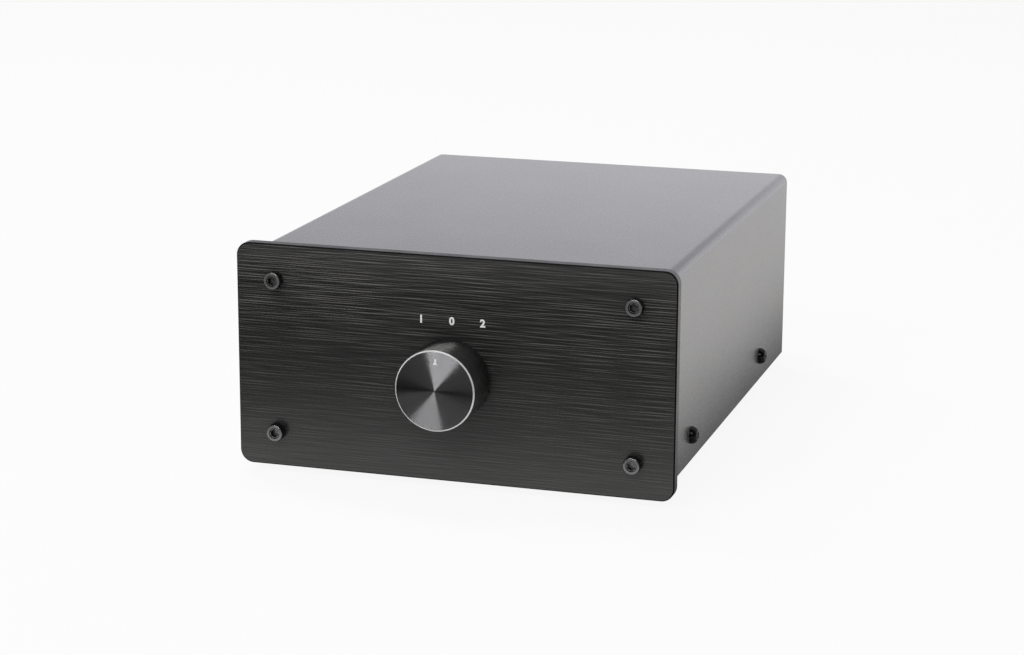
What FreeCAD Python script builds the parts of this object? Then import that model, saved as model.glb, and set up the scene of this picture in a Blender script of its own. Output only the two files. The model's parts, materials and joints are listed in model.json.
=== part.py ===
import FreeCAD, Part
import math
import os
import Sketcher

# A speaker selector switch: a flat case with a thick front panel, one knob with three
# positions and twelve binding posts at the back.
# Every piece is drawn in the case's own directions: X to the right, Y to the back from the
# panel's front face and Z up from the panel's bottom edge. Its Placement then moves it so
# that the whole object stands on Z 0 with the middle of its floor area at the origin.

SIZES = {
    # front panel
    "panel_width": 140.0,
    "panel_height": 70.7,
    "panel_thickness": 4.0,
    "panel_corner_radius": 4.2,
    "panel_edge_chamfer": 0.4,
    # case of folded sheet
    "case_depth": 180.0,
    "sheet_thickness": 1.2,
    "cover_side_inset": 3.5,
    "cover_top_inset": 2.6,
    "cover_bottom_inset": 2.5,
    "cover_bend_radius": 3.0,
    "tray_clearance": 0.15,
    "tray_lip_height": 14.0,
    # three millimetre screws and what they go through
    "screw_radius": 1.5,
    "screw_hole_radius": 1.7,
    "thread_clearance": 0.05,
    "panel_screw_inset_side": 12.7,
    "panel_screw_inset_edge": 11.05,
    "socket_head_radius": 2.75,
    "socket_head_height": 3.0,
    "socket_head_round": 0.35,
    "socket_width": 2.5,
    "socket_depth": 1.6,
    "screw_spare_length": 1.4,
    "nut_width": 5.5,
    "nut_thickness": 2.4,
    "pan_head_radius": 2.8,
    "pan_head_height": 2.2,
    "pan_head_round": 1.1,
    "cross_length": 3.0,
    "cross_width": 0.7,
    "cross_depth": 1.0,
    "press_nut_radius": 3.1,
    "press_nut_thickness": 1.6,
    "cover_screw_setback": 36.0,
    "cover_screw_pitch": 103.5,
    "cover_screw_height": 11.0,
    # rubber feet
    "foot_radius": 7.5,
    "foot_taper": 1.0,
    "foot_height": 5.0,
    "foot_recess_radius": 3.4,
    "foot_recess_depth": 2.8,
    "foot_side_inset": 14.0,
    "foot_front_setback": 26.0,
    "foot_rear_inset": 24.0,
    # knob
    "knob_axis_height": 33.0,
    "knob_radius": 12.5,
    "knob_reach": 16.5,
    "knob_gap": 1.0,
    "knob_chamfer": 0.4,
    "knob_recess_radius": 10.0,
    "knob_recess_depth": 6.0,
    "knob_bore_depth": 14.0,
    "pointer_length": 1.6,
    "pointer_width": 0.5,
    "pointer_depth": 0.3,
    "pointer_edge_gap": 2.7,
    "grub_length": 5.0,
    "grub_setback": 5.5,
    "grub_socket_width": 1.5,
    # rotary switch
    "shaft_radius": 3.0,
    "shaft_clearance": 0.05,
    "shaft_front_length": 13.5,
    "shaft_flat_depth": 0.6,
    "shaft_drive_width": 4.4,
    "clip_radius": 4.6,
    "clip_thickness": 0.6,
    "clip_groove_depth": 0.5,
    "clip_gap": 0.3,
    "clip_opening_width": 4.0,
    "bushing_radius": 4.5,
    "bushing_hole_clearance": 0.1,
    "bushing_front_length": 4.6,
    "bushing_plate_width": 35.0,
    "bushing_plate_height": 25.0,
    "bushing_plate_thickness": 1.6,
    "plate_corner_radius": 4.0,
    "washer_radius": 6.3,
    "washer_thickness": 0.6,
    "switch_nut_width": 11.0,
    "switch_nut_thickness": 2.2,
    "housing_depth": 5.6,
    "housing_back_thickness": 1.2,
    "housing_cavity_radius": 11.2,
    "detent_wheel_radius": 8.5,
    "detent_wheel_thickness": 3.2,
    "detent_scallop_radius": 1.7,
    "detent_scallop_depth": 0.5,
    "ball_radius": 1.4,
    "ball_gap": 0.1,
    "spring_length": 2.2,
    "spring_wall": 0.4,
    "stop_lug_width": 3.0,
    "stop_gap": 0.2,
    "stop_angle": 14.0,
    "stop_root_depth": 0.5,
    "stop_lug_root": 2.0,
    "moving_gap": 0.3,
    "step_angle": 30.0,
    "tie_radius": 14.5,
    "tie_screw_radius": 1.25,
    "tie_head_radius": 2.3,
    "tie_nut_width": 5.0,
    "tie_nut_thickness": 2.0,
    "spacer_radius": 2.2,
    "wafer_radius": 17.0,
    "wafer_thickness": 1.6,
    "wafer_first_gap": 6.0,
    "wafer_pitch": 13.6,
    "rotor_radius": 6.8,
    "rotor_clearance": 0.2,
    "blade_radius": 8.4,
    "blade_inner_radius": 4.4,
    "blade_part_width": 5.0,
    "blade_thickness": 0.4,
    "blade_gap": 0.2,
    "lug_first_angle": 20.0,
    "lug_inner_radius": 9.2,
    "lug_outer_radius": 21.0,
    "lug_width": 2.2,
    "lug_thickness": 0.5,
    "lug_wire_inset": 1.4,
    # binding posts
    "post_columns": 6,
    "post_pitch": 19.05,
    "post_lower_height": 24.0,
    "stud_radius": 3.0,
    "stud_spare_length": 2.0,
    "stud_end_inset": 0.8,
    "plug_bore_radius": 2.05,
    "plug_bore_depth": 13.0,
    "lead_hole_radius": 1.25,
    "lead_hole_setback": 1.9,
    "collar_radius": 6.0,
    "collar_thickness": 4.0,
    "collar_neck_radius": 4.4,
    "bush_thickness": 2.5,
    "post_fit": 0.1,
    "post_nut_width": 8.0,
    "post_nut_thickness": 2.5,
    "tag_radius": 5.0,
    "tag_width": 4.0,
    "tag_reach": 10.5,
    "tag_thickness": 0.6,
    "cap_radius": 5.75,
    "cap_length": 17.8,
    "cap_gap": 0.2,
    "cap_edge_round": 0.5,
    "cap_mouth_clearance": 0.4,
    "cap_wall_length": 3.8,
    "cap_plain_length": 2.0,
    "cap_flute_count": 12,
    "cap_flute_radius": 0.9,
    "cap_flute_depth": 0.45,
    "insert_radius": 4.3,
    "insert_clearance": 0.05,
    # inside wiring
    "wire_radius": 1.1,
    "wire_lead_out": 24.0,
    "wire_slack": 3.0,
}


# A length taken from the sheet, or worked out from some: its number for drawing and its
# formula for binding.
class Size:
    def __init__(self, number, formula):
        self.number = number
        self.formula = formula

    def combine(self, other, sign, number):
        return Size(number, f"({self.formula} {sign} {formula_of(other)})")

    def __add__(self, other):
        return self.combine(other, "+", self.number + number_of(other))

    def __sub__(self, other):
        return self.combine(other, "-", self.number - number_of(other))

    def __mul__(self, other):
        return self.combine(other, "*", self.number * number_of(other))

    def __truediv__(self, other):
        return self.combine(other, "/", self.number / number_of(other))

    def __neg__(self):
        return Size(-self.number, f"(0 - {self.formula})")


def number_of(value):
    return value.number if isinstance(value, Size) else float(value)


def formula_of(value):
    return value.formula if isinstance(value, Size) else f"({float(value):.12f})"


class SizeSheet:
    def __init__(self, document):
        self.sheet = document.addObject("Spreadsheet::Sheet", "Sizes")
        for row, (name, value) in enumerate(SIZES.items(), 1):
            self.sheet.set(f"A{row}", name)
            self.sheet.set(f"B{row}", str(value))
            self.sheet.setAlias(f"B{row}", name)
        document.recompute()

    def __getattr__(self, name):
        return Size(float(SIZES[name]), f"Sizes.{name}")


doc = FreeCAD.newDocument("SpeakerSelector")
d = SizeSheet(doc)
finished = []

# Places that several pieces share.
cover_half_width = d.panel_width / 2 - d.cover_side_inset
cover_top = d.panel_height - d.cover_top_inset
cover_bottom = d.cover_bottom_inset
tray_half_width = cover_half_width - d.sheet_thickness - d.tray_clearance
tray_top = cover_top - d.sheet_thickness - d.tray_clearance
wall_back = d.panel_thickness + d.sheet_thickness
rear_wall_front = d.case_depth - d.sheet_thickness
panel_screw_x = d.panel_width / 2 - d.panel_screw_inset_side
panel_screw_span_x = panel_screw_x * 2
panel_screw_span_z = d.panel_height - d.panel_screw_inset_edge * 2
foot_x = cover_half_width - d.foot_side_inset
foot_span_y = d.case_depth - d.foot_rear_inset - d.foot_front_setback
post_span_x = d.post_pitch * (SIZES["post_columns"] - 1)
post_first_x = -(post_span_x / 2)
cap_front = d.collar_thickness + d.cap_gap
post_reach = cap_front + d.cap_length
plate_back = wall_back + d.bushing_plate_thickness
housing_back = plate_back + d.housing_depth
wafer_front_start = housing_back + d.wafer_first_gap
wafer_rear_start = wafer_front_start + d.wafer_pitch
wafer_rear_end = wafer_rear_start + d.wafer_thickness
shaft_hole_radius = d.shaft_radius + d.shaft_clearance

flat_height = d.shaft_radius - d.shaft_flat_depth
clip_front = -(d.bushing_front_length + d.clip_gap + d.clip_thickness)
grub_y = d.grub_setback - d.knob_reach
tag_front = -(d.sheet_thickness + d.bush_thickness + d.tag_thickness)
stud_front = tag_front - d.post_nut_thickness - d.stud_spare_length
ball_y = plate_back + d.moving_gap + d.detent_wheel_thickness / 2
ball_angles = (30, 150)
tie_head_height = d.bushing_plate_thickness / 2
tie_hole_radius = d.tie_screw_radius + d.thread_clearance

# The move from the case's directions to the finished object's.
front_face_y = (d.knob_reach - d.case_depth - post_reach) / 2
ground_lift = d.foot_height - d.cover_bottom_inset


def bind(item, name, value):
    item.setExpression(name, formula_of(value))


def finish(item, label, x=0, y=0, z=0):
    # Puts a piece in its place in the case and keeps it for export under its label.
    item.Label = label
    bind(item, "Placement.Base.x", x)
    bind(item, "Placement.Base.y", front_face_y + y)
    bind(item, "Placement.Base.z", ground_lift + z)
    finished.append(item)
    return item


def new_body(name, several=False):
    body = doc.addObject("PartDesign::Body", name)
    body.AllowCompound = several
    return body


def origin_part(body, role):
    return [item for item in body.Origin.OriginFeatures if item.Role == role][0]


def fix_point(sketch, line, end, across, up):
    for kind, axis, value in (("DistanceX", -2, across), ("DistanceY", -1, up)):
        if number_of(value) == 0 and not isinstance(value, Size):
            sketch.addConstraint(Sketcher.Constraint("PointOnObject", line, end, axis))
            continue
        rule = Sketcher.Constraint(kind, -1, 1, line, end, number_of(value))
        place = sketch.addConstraint(rule)
        sketch.setExpression(f"Constraints[{place}]", formula_of(value))


def draw_polygon(sketch, corners):
    first = sketch.GeometryCount
    count = len(corners)
    points = [FreeCAD.Vector(number_of(across), number_of(up), 0) for across, up in corners]
    for place in range(count):
        sketch.addGeometry(Part.LineSegment(points[place], points[(place + 1) % count]))
    for place in range(count):
        joined = first + (place + 1) % count
        sketch.addConstraint(Sketcher.Constraint("Coincident", first + place, 2, joined, 1))
    for place, (across, up) in enumerate(corners):
        fix_point(sketch, first + place, 1, across, up)


def draw_circle(sketch, across, up, radius):
    centre = FreeCAD.Vector(number_of(across), number_of(up), 0)
    circle = Part.Circle(centre, FreeCAD.Vector(0, 0, 1), number_of(radius))
    line = sketch.addGeometry(circle)
    fix_point(sketch, line, 3, across, up)
    place = sketch.addConstraint(Sketcher.Constraint("Radius", line, number_of(radius)))
    sketch.setExpression(f"Constraints[{place}]", formula_of(radius))


def new_sketch(body, plane, name, loops, offset=0):
    # A loop is a list of corners, or a circle's centre and radius.
    sketch = body.newObject("Sketcher::SketchObject", name)
    sketch.AttachmentSupport = [(origin_part(body, plane), "")]
    sketch.MapMode = "FlatFace"
    if isinstance(offset, Size):
        bind(sketch, "AttachmentOffset.Base.z", offset)
    for loop in loops:
        if isinstance(loop, tuple):
            draw_circle(sketch, *loop)
        else:
            draw_polygon(sketch, loop)
    return sketch


def extrude(body, name, kind, plane, loops, start, length):
    # Pads or pockets loops from start towards +X, +Y or +Z, square to the plane.
    backwards = plane == "XZ_Plane"
    offset = -start if backwards and isinstance(start, Size) else start
    sketch = new_sketch(body, plane, name + "Outline", loops, offset)
    feature = body.newObject("PartDesign::" + kind, name)
    feature.Profile = sketch
    bind(feature, "Length", length)
    feature.Reversed = backwards == (kind == "Pad")
    return feature


def revolve(body, name, kind, plane, corners, axis):
    sketch = new_sketch(body, plane, name + "Profile", [corners])
    feature = body.newObject("PartDesign::" + kind, name)
    feature.Profile = sketch
    feature.ReferenceAxis = (origin_part(body, axis), [""])
    feature.Angle = 360
    return feature


def repeat(body, name, axis, length, count, second=None):
    # Copies the whole body along one axis, or along two as a grid.
    doc.recompute()
    pattern = body.newObject("PartDesign::LinearPattern", name)
    pattern.TransformMode = "Whole shape"
    pattern.Direction = (origin_part(body, axis), [""])
    bind(pattern, "Length", length)
    pattern.Occurrences = count
    if second:
        second_axis, second_length, second_count = second
        pattern.Direction2 = (origin_part(body, second_axis), [""])
        bind(pattern, "Length2", second_length)
        pattern.Occurrences2 = second_count
    body.Tip = pattern
    return pattern


def mirror_across_middle(body, name):
    mirror = body.newObject("PartDesign::Mirrored", name)
    mirror.TransformMode = "Whole shape"
    mirror.MirrorPlane = (origin_part(body, "YZ_Plane"), [""])
    body.Tip = mirror
    return mirror


def dress_edges(body, name, kind, value, wanted):
    # Rounds or chamfers the tip's edges whose box passes the test.
    doc.recompute()
    base = body.Tip
    names = []
    for place, edge in enumerate(base.Shape.Edges, 1):
        if wanted(edge):
            names.append(f"Edge{place}")
    feature = body.newObject("PartDesign::" + kind, name)
    feature.Base = (base, names)
    bind(feature, "Radius" if kind == "Fillet" else "Size", value)
    return feature


def rectangle(low_across, low_up, high_across, high_up):
    return [
        (low_across, low_up),
        (high_across, low_up),
        (high_across, high_up),
        (low_across, high_up),
    ]


def hexagon(width):
    # A hexagon by its width across the flats, with two flats upright.
    corners = []
    for place in range(6):
        turn = math.radians(30 + 60 * place)
        corner_radius = width / math.sqrt(3)
        corners.append((corner_radius * math.cos(turn), corner_radius * math.sin(turn)))
    return corners


def runs_along(edge, axis):
    box = edge.BoundBox
    spans = {"X": box.XLength, "Y": box.YLength, "Z": box.ZLength}
    length = spans.pop(axis)
    return length > 1e-6 and max(spans.values()) < 1e-6


def near(value, target):
    return abs(value - number_of(target)) < 1e-4


def panel_screw_circles():
    circles = []
    for across in (-panel_screw_x, panel_screw_x):
        for up in (d.panel_screw_inset_edge, d.panel_height - d.panel_screw_inset_edge):
            circles.append((across, up, d.screw_hole_radius))
    return circles


def bushing_circle():
    return (0, d.knob_axis_height, d.bushing_radius + d.bushing_hole_clearance)


def front_panel():
    body = new_body("FrontPanel")
    half = d.panel_width / 2
    outline = rectangle(-half, 0, half, d.panel_height)
    extrude(body, "Plate", "Pad", "XZ_Plane", [outline], 0, d.panel_thickness)
    dress_edges(body, "Corners", "Fillet", d.panel_corner_radius, lambda edge: runs_along(edge, "Y"))
    front = lambda edge: near(edge.BoundBox.YMax, 0)
    dress_edges(body, "FrontEdge", "Chamfer", d.panel_edge_chamfer, front)
    holes = panel_screw_circles() + [bushing_circle()]
    extrude(body, "Holes", "Pocket", "XZ_Plane", holes, 0, d.panel_thickness)
    finish(body, "front_panel")


def panel_screws():
    body = new_body("PanelScrews", several=True)
    length = wall_back + d.nut_thickness + d.screw_spare_length
    profile = [
        (0, -d.socket_head_height),
        (d.socket_head_radius, -d.socket_head_height),
        (d.socket_head_radius, 0),
        (d.screw_radius, 0),
        (d.screw_radius, length),
        (0, length),
    ]
    revolve(body, "Screw", "Revolution", "XY_Plane", profile, "Y_Axis")
    rim = lambda edge: near(edge.BoundBox.YMax, -d.socket_head_height) and near(
        edge.BoundBox.XMax, d.socket_head_radius
    )
    dress_edges(body, "HeadRound", "Fillet", d.socket_head_round, rim)
    extrude(
        body,
        "Socket",
        "Pocket",
        "XZ_Plane",
        [hexagon(d.socket_width)],
        -d.socket_head_height,
        d.socket_depth,
    )
    repeat(body, "Four", "X_Axis", panel_screw_span_x, 2, ("Z_Axis", panel_screw_span_z, 2))
    finish(body, "panel_screws", -panel_screw_x, 0, d.panel_screw_inset_edge)


def panel_nuts():
    body = new_body("PanelNuts", several=True)
    loops = [hexagon(d.nut_width), (0, 0, d.screw_radius + d.thread_clearance)]
    extrude(body, "Nut", "Pad", "XZ_Plane", loops, wall_back, d.nut_thickness)
    repeat(body, "Four", "X_Axis", panel_screw_span_x, 2, ("Z_Axis", panel_screw_span_z, 2))
    finish(body, "panel_nuts", -panel_screw_x, 0, d.panel_screw_inset_edge)


def chassis_tray():
    # Floor, front wall and rear wall are one folded strip, with a low lip along each side.
    body = new_body("ChassisTray")
    floor_top = cover_bottom + d.sheet_thickness
    strip = [
        (d.panel_thickness, cover_bottom),
        (d.case_depth, cover_bottom),
        (d.case_depth, tray_top),
        (rear_wall_front, tray_top),
        (rear_wall_front, floor_top),
        (wall_back, floor_top),
        (wall_back, tray_top),
        (d.panel_thickness, tray_top),
    ]
    extrude(body, "Strip", "Pad", "YZ_Plane", [strip], -tray_half_width, tray_half_width * 2)
    lip_top = cover_bottom + d.tray_lip_height
    lip_inside = tray_half_width - d.sheet_thickness
    lips = [
        rectangle(-tray_half_width, floor_top, -lip_inside, lip_top),
        rectangle(lip_inside, floor_top, tray_half_width, lip_top),
    ]
    lip_length = rear_wall_front - wall_back
    extrude(body, "Lips", "Pad", "XZ_Plane", lips, wall_back, lip_length)
    corner = lambda edge: runs_along(edge, "Y") and near(edge.BoundBox.ZMin, tray_top)
    dress_edges(body, "TopCorners", "Fillet", d.cover_bend_radius - d.sheet_thickness, corner)
    front_holes = panel_screw_circles() + [bushing_circle()]
    extrude(body, "FrontHoles", "Pocket", "XZ_Plane", front_holes, d.panel_thickness, d.sheet_thickness)
    post_holes = []
    for row in range(2):
        for column in range(SIZES["post_columns"]):
            across = post_first_x + d.post_pitch * column
            up = d.post_lower_height + d.post_pitch * row
            post_holes.append((across, up, d.collar_neck_radius + d.post_fit))
    extrude(body, "PostHoles", "Pocket", "XZ_Plane", post_holes, rear_wall_front, d.sheet_thickness)
    foot_holes = []
    for across in (-foot_x, foot_x):
        for back in (d.foot_front_setback, d.foot_front_setback + foot_span_y):
            foot_holes.append((across, back, d.screw_hole_radius))
    extrude(body, "FootHoles", "Pocket", "XY_Plane", foot_holes, cover_bottom, d.sheet_thickness)
    extrude(body, "LipHoles", "Pocket", "YZ_Plane", side_circles(), -tray_half_width, tray_half_width * 2)
    finish(body, "chassis_tray")


def side_circles():
    second = d.cover_screw_setback + d.cover_screw_pitch
    return [
        (d.cover_screw_setback, d.cover_screw_height, d.screw_hole_radius),
        (second, d.cover_screw_height, d.screw_hole_radius),
    ]


def top_cover():
    # One sheet bent down at both sides.
    body = new_body("TopCover")
    inside = cover_half_width - d.sheet_thickness
    under = cover_top - d.sheet_thickness
    profile = [
        (-cover_half_width, cover_bottom),
        (-inside, cover_bottom),
        (-inside, under),
        (inside, under),
        (inside, cover_bottom),
        (cover_half_width, cover_bottom),
        (cover_half_width, cover_top),
        (-cover_half_width, cover_top),
    ]
    length = d.case_depth - d.panel_thickness
    extrude(body, "Sheet", "Pad", "XZ_Plane", [profile], d.panel_thickness, length)
    outer = lambda edge: runs_along(edge, "Y") and near(edge.BoundBox.ZMax, cover_top)
    dress_edges(body, "OuterBends", "Fillet", d.cover_bend_radius, outer)
    inner = lambda edge: runs_along(edge, "Y") and near(edge.BoundBox.ZMax, under)
    dress_edges(body, "InnerBends", "Fillet", d.cover_bend_radius - d.sheet_thickness, inner)
    across = cover_half_width * 2
    extrude(body, "ScrewHoles", "Pocket", "YZ_Plane", side_circles(), -cover_half_width, across)
    finish(body, "top_cover")


def cross(length, width):
    # A plus sign, corner by corner.
    reach = length / 2
    arm = width / 2
    return [
        (-arm, -reach), (arm, -reach), (arm, -arm), (reach, -arm), (reach, arm), (arm, arm),
        (arm, reach), (-arm, reach), (-arm, arm), (-reach, arm), (-reach, -arm), (-arm, -arm),
    ]


def pan_screw(body, seat, tip, plane, axis, outward):
    # A screw along its own X or Z axis, with its head outside the seat.
    top = seat + d.pan_head_height * outward
    points = [
        (top, 0),
        (top, d.pan_head_radius),
        (seat, d.pan_head_radius),
        (seat, d.screw_radius),
        (tip, d.screw_radius),
        (tip, 0),
    ]
    if axis == "Z_Axis":
        points = [(radius, along) for along, radius in points]
    revolve(body, "Screw", "Revolution", plane, points, axis)
    return top


def cover_screws():
    body = new_body("CoverScrews", several=True)
    tip = tray_half_width - d.sheet_thickness - d.press_nut_thickness - d.screw_spare_length
    top = pan_screw(body, cover_half_width, tip, "XY_Plane", "X_Axis", 1)
    rim = lambda edge: near(edge.BoundBox.XMin, top) and near(edge.BoundBox.YMax, d.pan_head_radius)
    dress_edges(body, "HeadRound", "Fillet", d.pan_head_round, rim)
    recess = [cross(d.cross_length, d.cross_width)]
    extrude(body, "Recess", "Pocket", "YZ_Plane", recess, top - d.cross_depth, d.cross_depth)
    repeat(body, "Row", "Y_Axis", d.cover_screw_pitch, 2)
    mirror_across_middle(body, "OtherSide")
    finish(body, "cover_screws", 0, d.cover_screw_setback, d.cover_screw_height)


def feet():
    body = new_body("Feet", several=True)
    narrow = d.foot_radius - d.foot_taper
    recess_top = d.foot_recess_depth - d.foot_height
    profile = [
        (d.screw_hole_radius, 0),
        (d.foot_radius, 0),
        (narrow, -d.foot_height),
        (d.foot_recess_radius, -d.foot_height),
        (d.foot_recess_radius, recess_top),
        (d.screw_hole_radius, recess_top),
    ]
    revolve(body, "Foot", "Revolution", "XZ_Plane", profile, "Z_Axis")
    repeat(body, "Four", "X_Axis", foot_x * 2, 2, ("Y_Axis", foot_span_y, 2))
    finish(body, "feet", -foot_x, d.foot_front_setback, cover_bottom)


def foot_screws():
    body = new_body("FootScrews", several=True)
    seat = d.foot_recess_depth - d.foot_height
    tip = d.sheet_thickness + d.press_nut_thickness + d.screw_spare_length
    pan_screw(body, seat, tip, "XZ_Plane", "Z_Axis", -1)
    recess = [cross(d.cross_length, d.cross_width)]
    extrude(body, "Recess", "Pocket", "XY_Plane", recess, seat - d.pan_head_height, d.cross_depth)
    repeat(body, "Four", "X_Axis", foot_x * 2, 2, ("Y_Axis", foot_span_y, 2))
    finish(body, "foot_screws", -foot_x, d.foot_front_setback, cover_bottom)


def press_nuts():
    # Round nuts pressed on the tray: four on its floor and four inside its lips.
    loops = [(0, 0, d.press_nut_radius), (0, 0, d.screw_radius + d.thread_clearance)]
    floor = new_body("FloorNuts", several=True)
    extrude(floor, "Nut", "Pad", "XY_Plane", loops, d.sheet_thickness, d.press_nut_thickness)
    repeat(floor, "Four", "X_Axis", foot_x * 2, 2, ("Y_Axis", foot_span_y, 2))
    bind(floor, "Placement.Base.x", -foot_x)
    bind(floor, "Placement.Base.y", d.foot_front_setback)
    bind(floor, "Placement.Base.z", cover_bottom)
    side = new_body("SideNuts", several=True)
    start = tray_half_width - d.sheet_thickness - d.press_nut_thickness
    extrude(side, "Nut", "Pad", "YZ_Plane", loops, start, d.press_nut_thickness)
    repeat(side, "Row", "Y_Axis", d.cover_screw_pitch, 2)
    mirror_across_middle(side, "OtherSide")
    bind(side, "Placement.Base.y", d.cover_screw_setback)
    bind(side, "Placement.Base.z", d.cover_screw_height)
    both = doc.addObject("Part::Compound", "PressNuts")
    both.Links = [floor, side]
    finish(both, "press_nuts")


def switch_bushing():
    # The switch's front plate with the bushing that goes through the panel.
    body = new_body("SwitchBushing")
    outline = plate_outline()
    extrude(body, "Plate", "Pad", "XZ_Plane", [outline], wall_back, d.bushing_plate_thickness)
    dress_edges(body, "Corners", "Fillet", d.plate_corner_radius, lambda edge: runs_along(edge, "Y"))
    start = -d.bushing_front_length
    length = d.bushing_front_length + plate_back
    extrude(body, "Bushing", "Pad", "XZ_Plane", [(0, 0, d.bushing_radius)], start, length)
    extrude(body, "Bore", "Pocket", "XZ_Plane", [(0, 0, shaft_hole_radius)], start, length)
    hole = d.tie_screw_radius + d.thread_clearance
    sink = d.tie_head_radius + d.thread_clearance
    for side, name in ((-1, "Left"), (1, "Right")):
        across = d.tie_radius * side
        circle = [(across, 0, hole)]
        extrude(body, name + "Hole", "Pocket", "XZ_Plane", circle, wall_back, d.bushing_plate_thickness)
        sink_circle = [(across, 0, sink)]
        extrude(body, name + "Sink", "Pocket", "XZ_Plane", sink_circle, wall_back, tie_head_height)
    finish(body, "switch_bushing", 0, 0, d.knob_axis_height)


def plate_outline():
    across = d.bushing_plate_width / 2
    up = d.bushing_plate_height / 2
    return rectangle(-across, -up, across, up)


def switch_washer():
    body = new_body("SwitchWasher")
    loops = [(0, 0, d.washer_radius), (0, 0, d.bushing_radius + d.thread_clearance)]
    extrude(body, "Washer", "Pad", "XZ_Plane", loops, -d.washer_thickness, d.washer_thickness)
    finish(body, "switch_washer", 0, 0, d.knob_axis_height)


def switch_nut():
    body = new_body("SwitchNut")
    loops = [hexagon(d.switch_nut_width), (0, 0, d.bushing_radius + d.thread_clearance)]
    start = -(d.washer_thickness + d.switch_nut_thickness)
    extrude(body, "Nut", "Pad", "XZ_Plane", loops, start, d.switch_nut_thickness)
    finish(body, "switch_nut", 0, 0, d.knob_axis_height)


def ball_centre_radius():
    return d.detent_wheel_radius + d.ball_gap + d.ball_radius


def detent_housing():
    # A cup that holds the detent wheel, with two radial pockets for balls and springs and
    # two stops for the wheel's lug.
    body = new_body("DetentHousing")
    extrude(body, "Block", "Pad", "XZ_Plane", [plate_outline()], plate_back, d.housing_depth)
    dress_edges(body, "Corners", "Fillet", d.plate_corner_radius, lambda edge: runs_along(edge, "Y"))
    cavity_depth = d.housing_depth - d.housing_back_thickness
    cavity = [(0, 0, d.housing_cavity_radius)]
    extrude(body, "Cavity", "Pocket", "XZ_Plane", cavity, plate_back, cavity_depth)
    hole = [(0, 0, d.shaft_radius + d.moving_gap)]
    extrude(body, "ShaftHole", "Pocket", "XZ_Plane", hole, plate_back, d.housing_depth)
    ties = [(-d.tie_radius, 0, tie_hole_radius), (d.tie_radius, 0, tie_hole_radius)]
    extrude(body, "TieHoles", "Pocket", "XZ_Plane", ties, plate_back, d.housing_depth)
    channel_end = ball_centre_radius() + d.ball_radius + d.spring_length
    channel_half = d.ball_radius + d.ball_gap
    channels = []
    for degrees in ball_angles:
        channels.append(along_ray(degrees, d.detent_wheel_radius, channel_end, channel_half))
    channel_depth = ball_y - plate_back + channel_half
    extrude(body, "Channels", "Pocket", "XZ_Plane", channels, plate_back, channel_depth)
    extrude(body, "Stops", "Pad", "XZ_Plane", stop_blocks(), plate_back, cavity_depth)
    finish(body, "detent_housing", 0, 0, d.knob_axis_height)


def stop_blocks():
    # Wedge-shaped stops that meet the lug's sides at the end of its swing.
    inner = d.detent_wheel_radius + d.moving_gap
    outer = d.housing_cavity_radius + d.stop_root_depth
    half_lug = math.degrees(math.asin(d.stop_lug_width.number / 2 / inner.number))
    gap = math.degrees(d.stop_gap.number / inner.number)
    width = d.stop_angle.number
    blocks = []
    for side in (-1, 1):
        start = side * (d.step_angle.number + half_lug + gap) - 90
        corners = [(inner, 0), (outer, 0), (outer, width), (inner, width)]
        blocks.append([polar(radius, start + side * turn) for radius, turn in corners])
    return blocks


def polar(radius, degrees):
    turn = math.radians(degrees)
    return (radius * math.cos(turn), radius * math.sin(turn))


def along_ray(degrees, near_end, far_end, half_width):
    # A rectangle that lies along a ray from the axis.
    turn = math.radians(degrees)
    corners = []
    for reach, side in ((near_end, -1), (far_end, -1), (far_end, 1), (near_end, 1)):
        across = reach * math.cos(turn) - half_width * side * math.sin(turn)
        up = reach * math.sin(turn) + half_width * side * math.cos(turn)
        corners.append((across, up))
    return corners


def detent_balls():
    centre = ball_centre_radius()
    balls = []
    for degrees in ball_angles:
        ball = doc.addObject("Part::Sphere", "Ball")
        bind(ball, "Radius", d.ball_radius)
        across, up = polar(centre, degrees)
        bind(ball, "Placement.Base.x", across)
        bind(ball, "Placement.Base.y", ball_y)
        bind(ball, "Placement.Base.z", up)
        balls.append(ball)
    pair = doc.addObject("Part::Compound", "Balls")
    pair.Links = balls
    finish(pair, "detent_balls", 0, 0, d.knob_axis_height)


def detent_springs():
    # Each spring is a short sleeve of its outer and inner size.
    start = ball_centre_radius() + d.ball_radius
    springs = []
    for degrees in ball_angles:
        across, up = polar(start, degrees)
        sleeves = []
        for radius in (d.ball_radius, d.ball_radius - d.spring_wall):
            sleeve = doc.addObject("Part::Cylinder", "Sleeve")
            ray = FreeCAD.Vector(*[part.number for part in polar(start, degrees)], 0)
            direction = FreeCAD.Vector(ray.x, 0, ray.y)
            sleeve.Placement.Rotation = FreeCAD.Rotation(FreeCAD.Vector(0, 0, 1), direction)
            bind(sleeve, "Radius", radius)
            bind(sleeve, "Height", d.spring_length)
            bind(sleeve, "Placement.Base.x", across)
            bind(sleeve, "Placement.Base.y", ball_y)
            bind(sleeve, "Placement.Base.z", up)
            sleeves.append(sleeve)
        spring = doc.addObject("Part::Cut", "Spring")
        spring.Base, spring.Tool = sleeves
        springs.append(spring)
    pair = doc.addObject("Part::Compound", "Springs")
    pair.Links = springs
    finish(pair, "detent_springs", 0, 0, d.knob_axis_height)


def tie_screws():
    body = new_body("TieScrews", several=True)
    tip = wafer_rear_end + d.tie_nut_thickness + d.screw_spare_length
    profile = [
        (0, wall_back),
        (d.tie_head_radius, wall_back),
        (d.tie_head_radius, wall_back + tie_head_height),
        (d.tie_screw_radius, wall_back + tie_head_height),
        (d.tie_screw_radius, tip),
        (0, tip),
    ]
    revolve(body, "Screw", "Revolution", "XY_Plane", profile, "Y_Axis")
    repeat(body, "Pair", "X_Axis", d.tie_radius * 2, 2)
    finish(body, "tie_screws", -d.tie_radius, 0, d.knob_axis_height)


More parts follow.
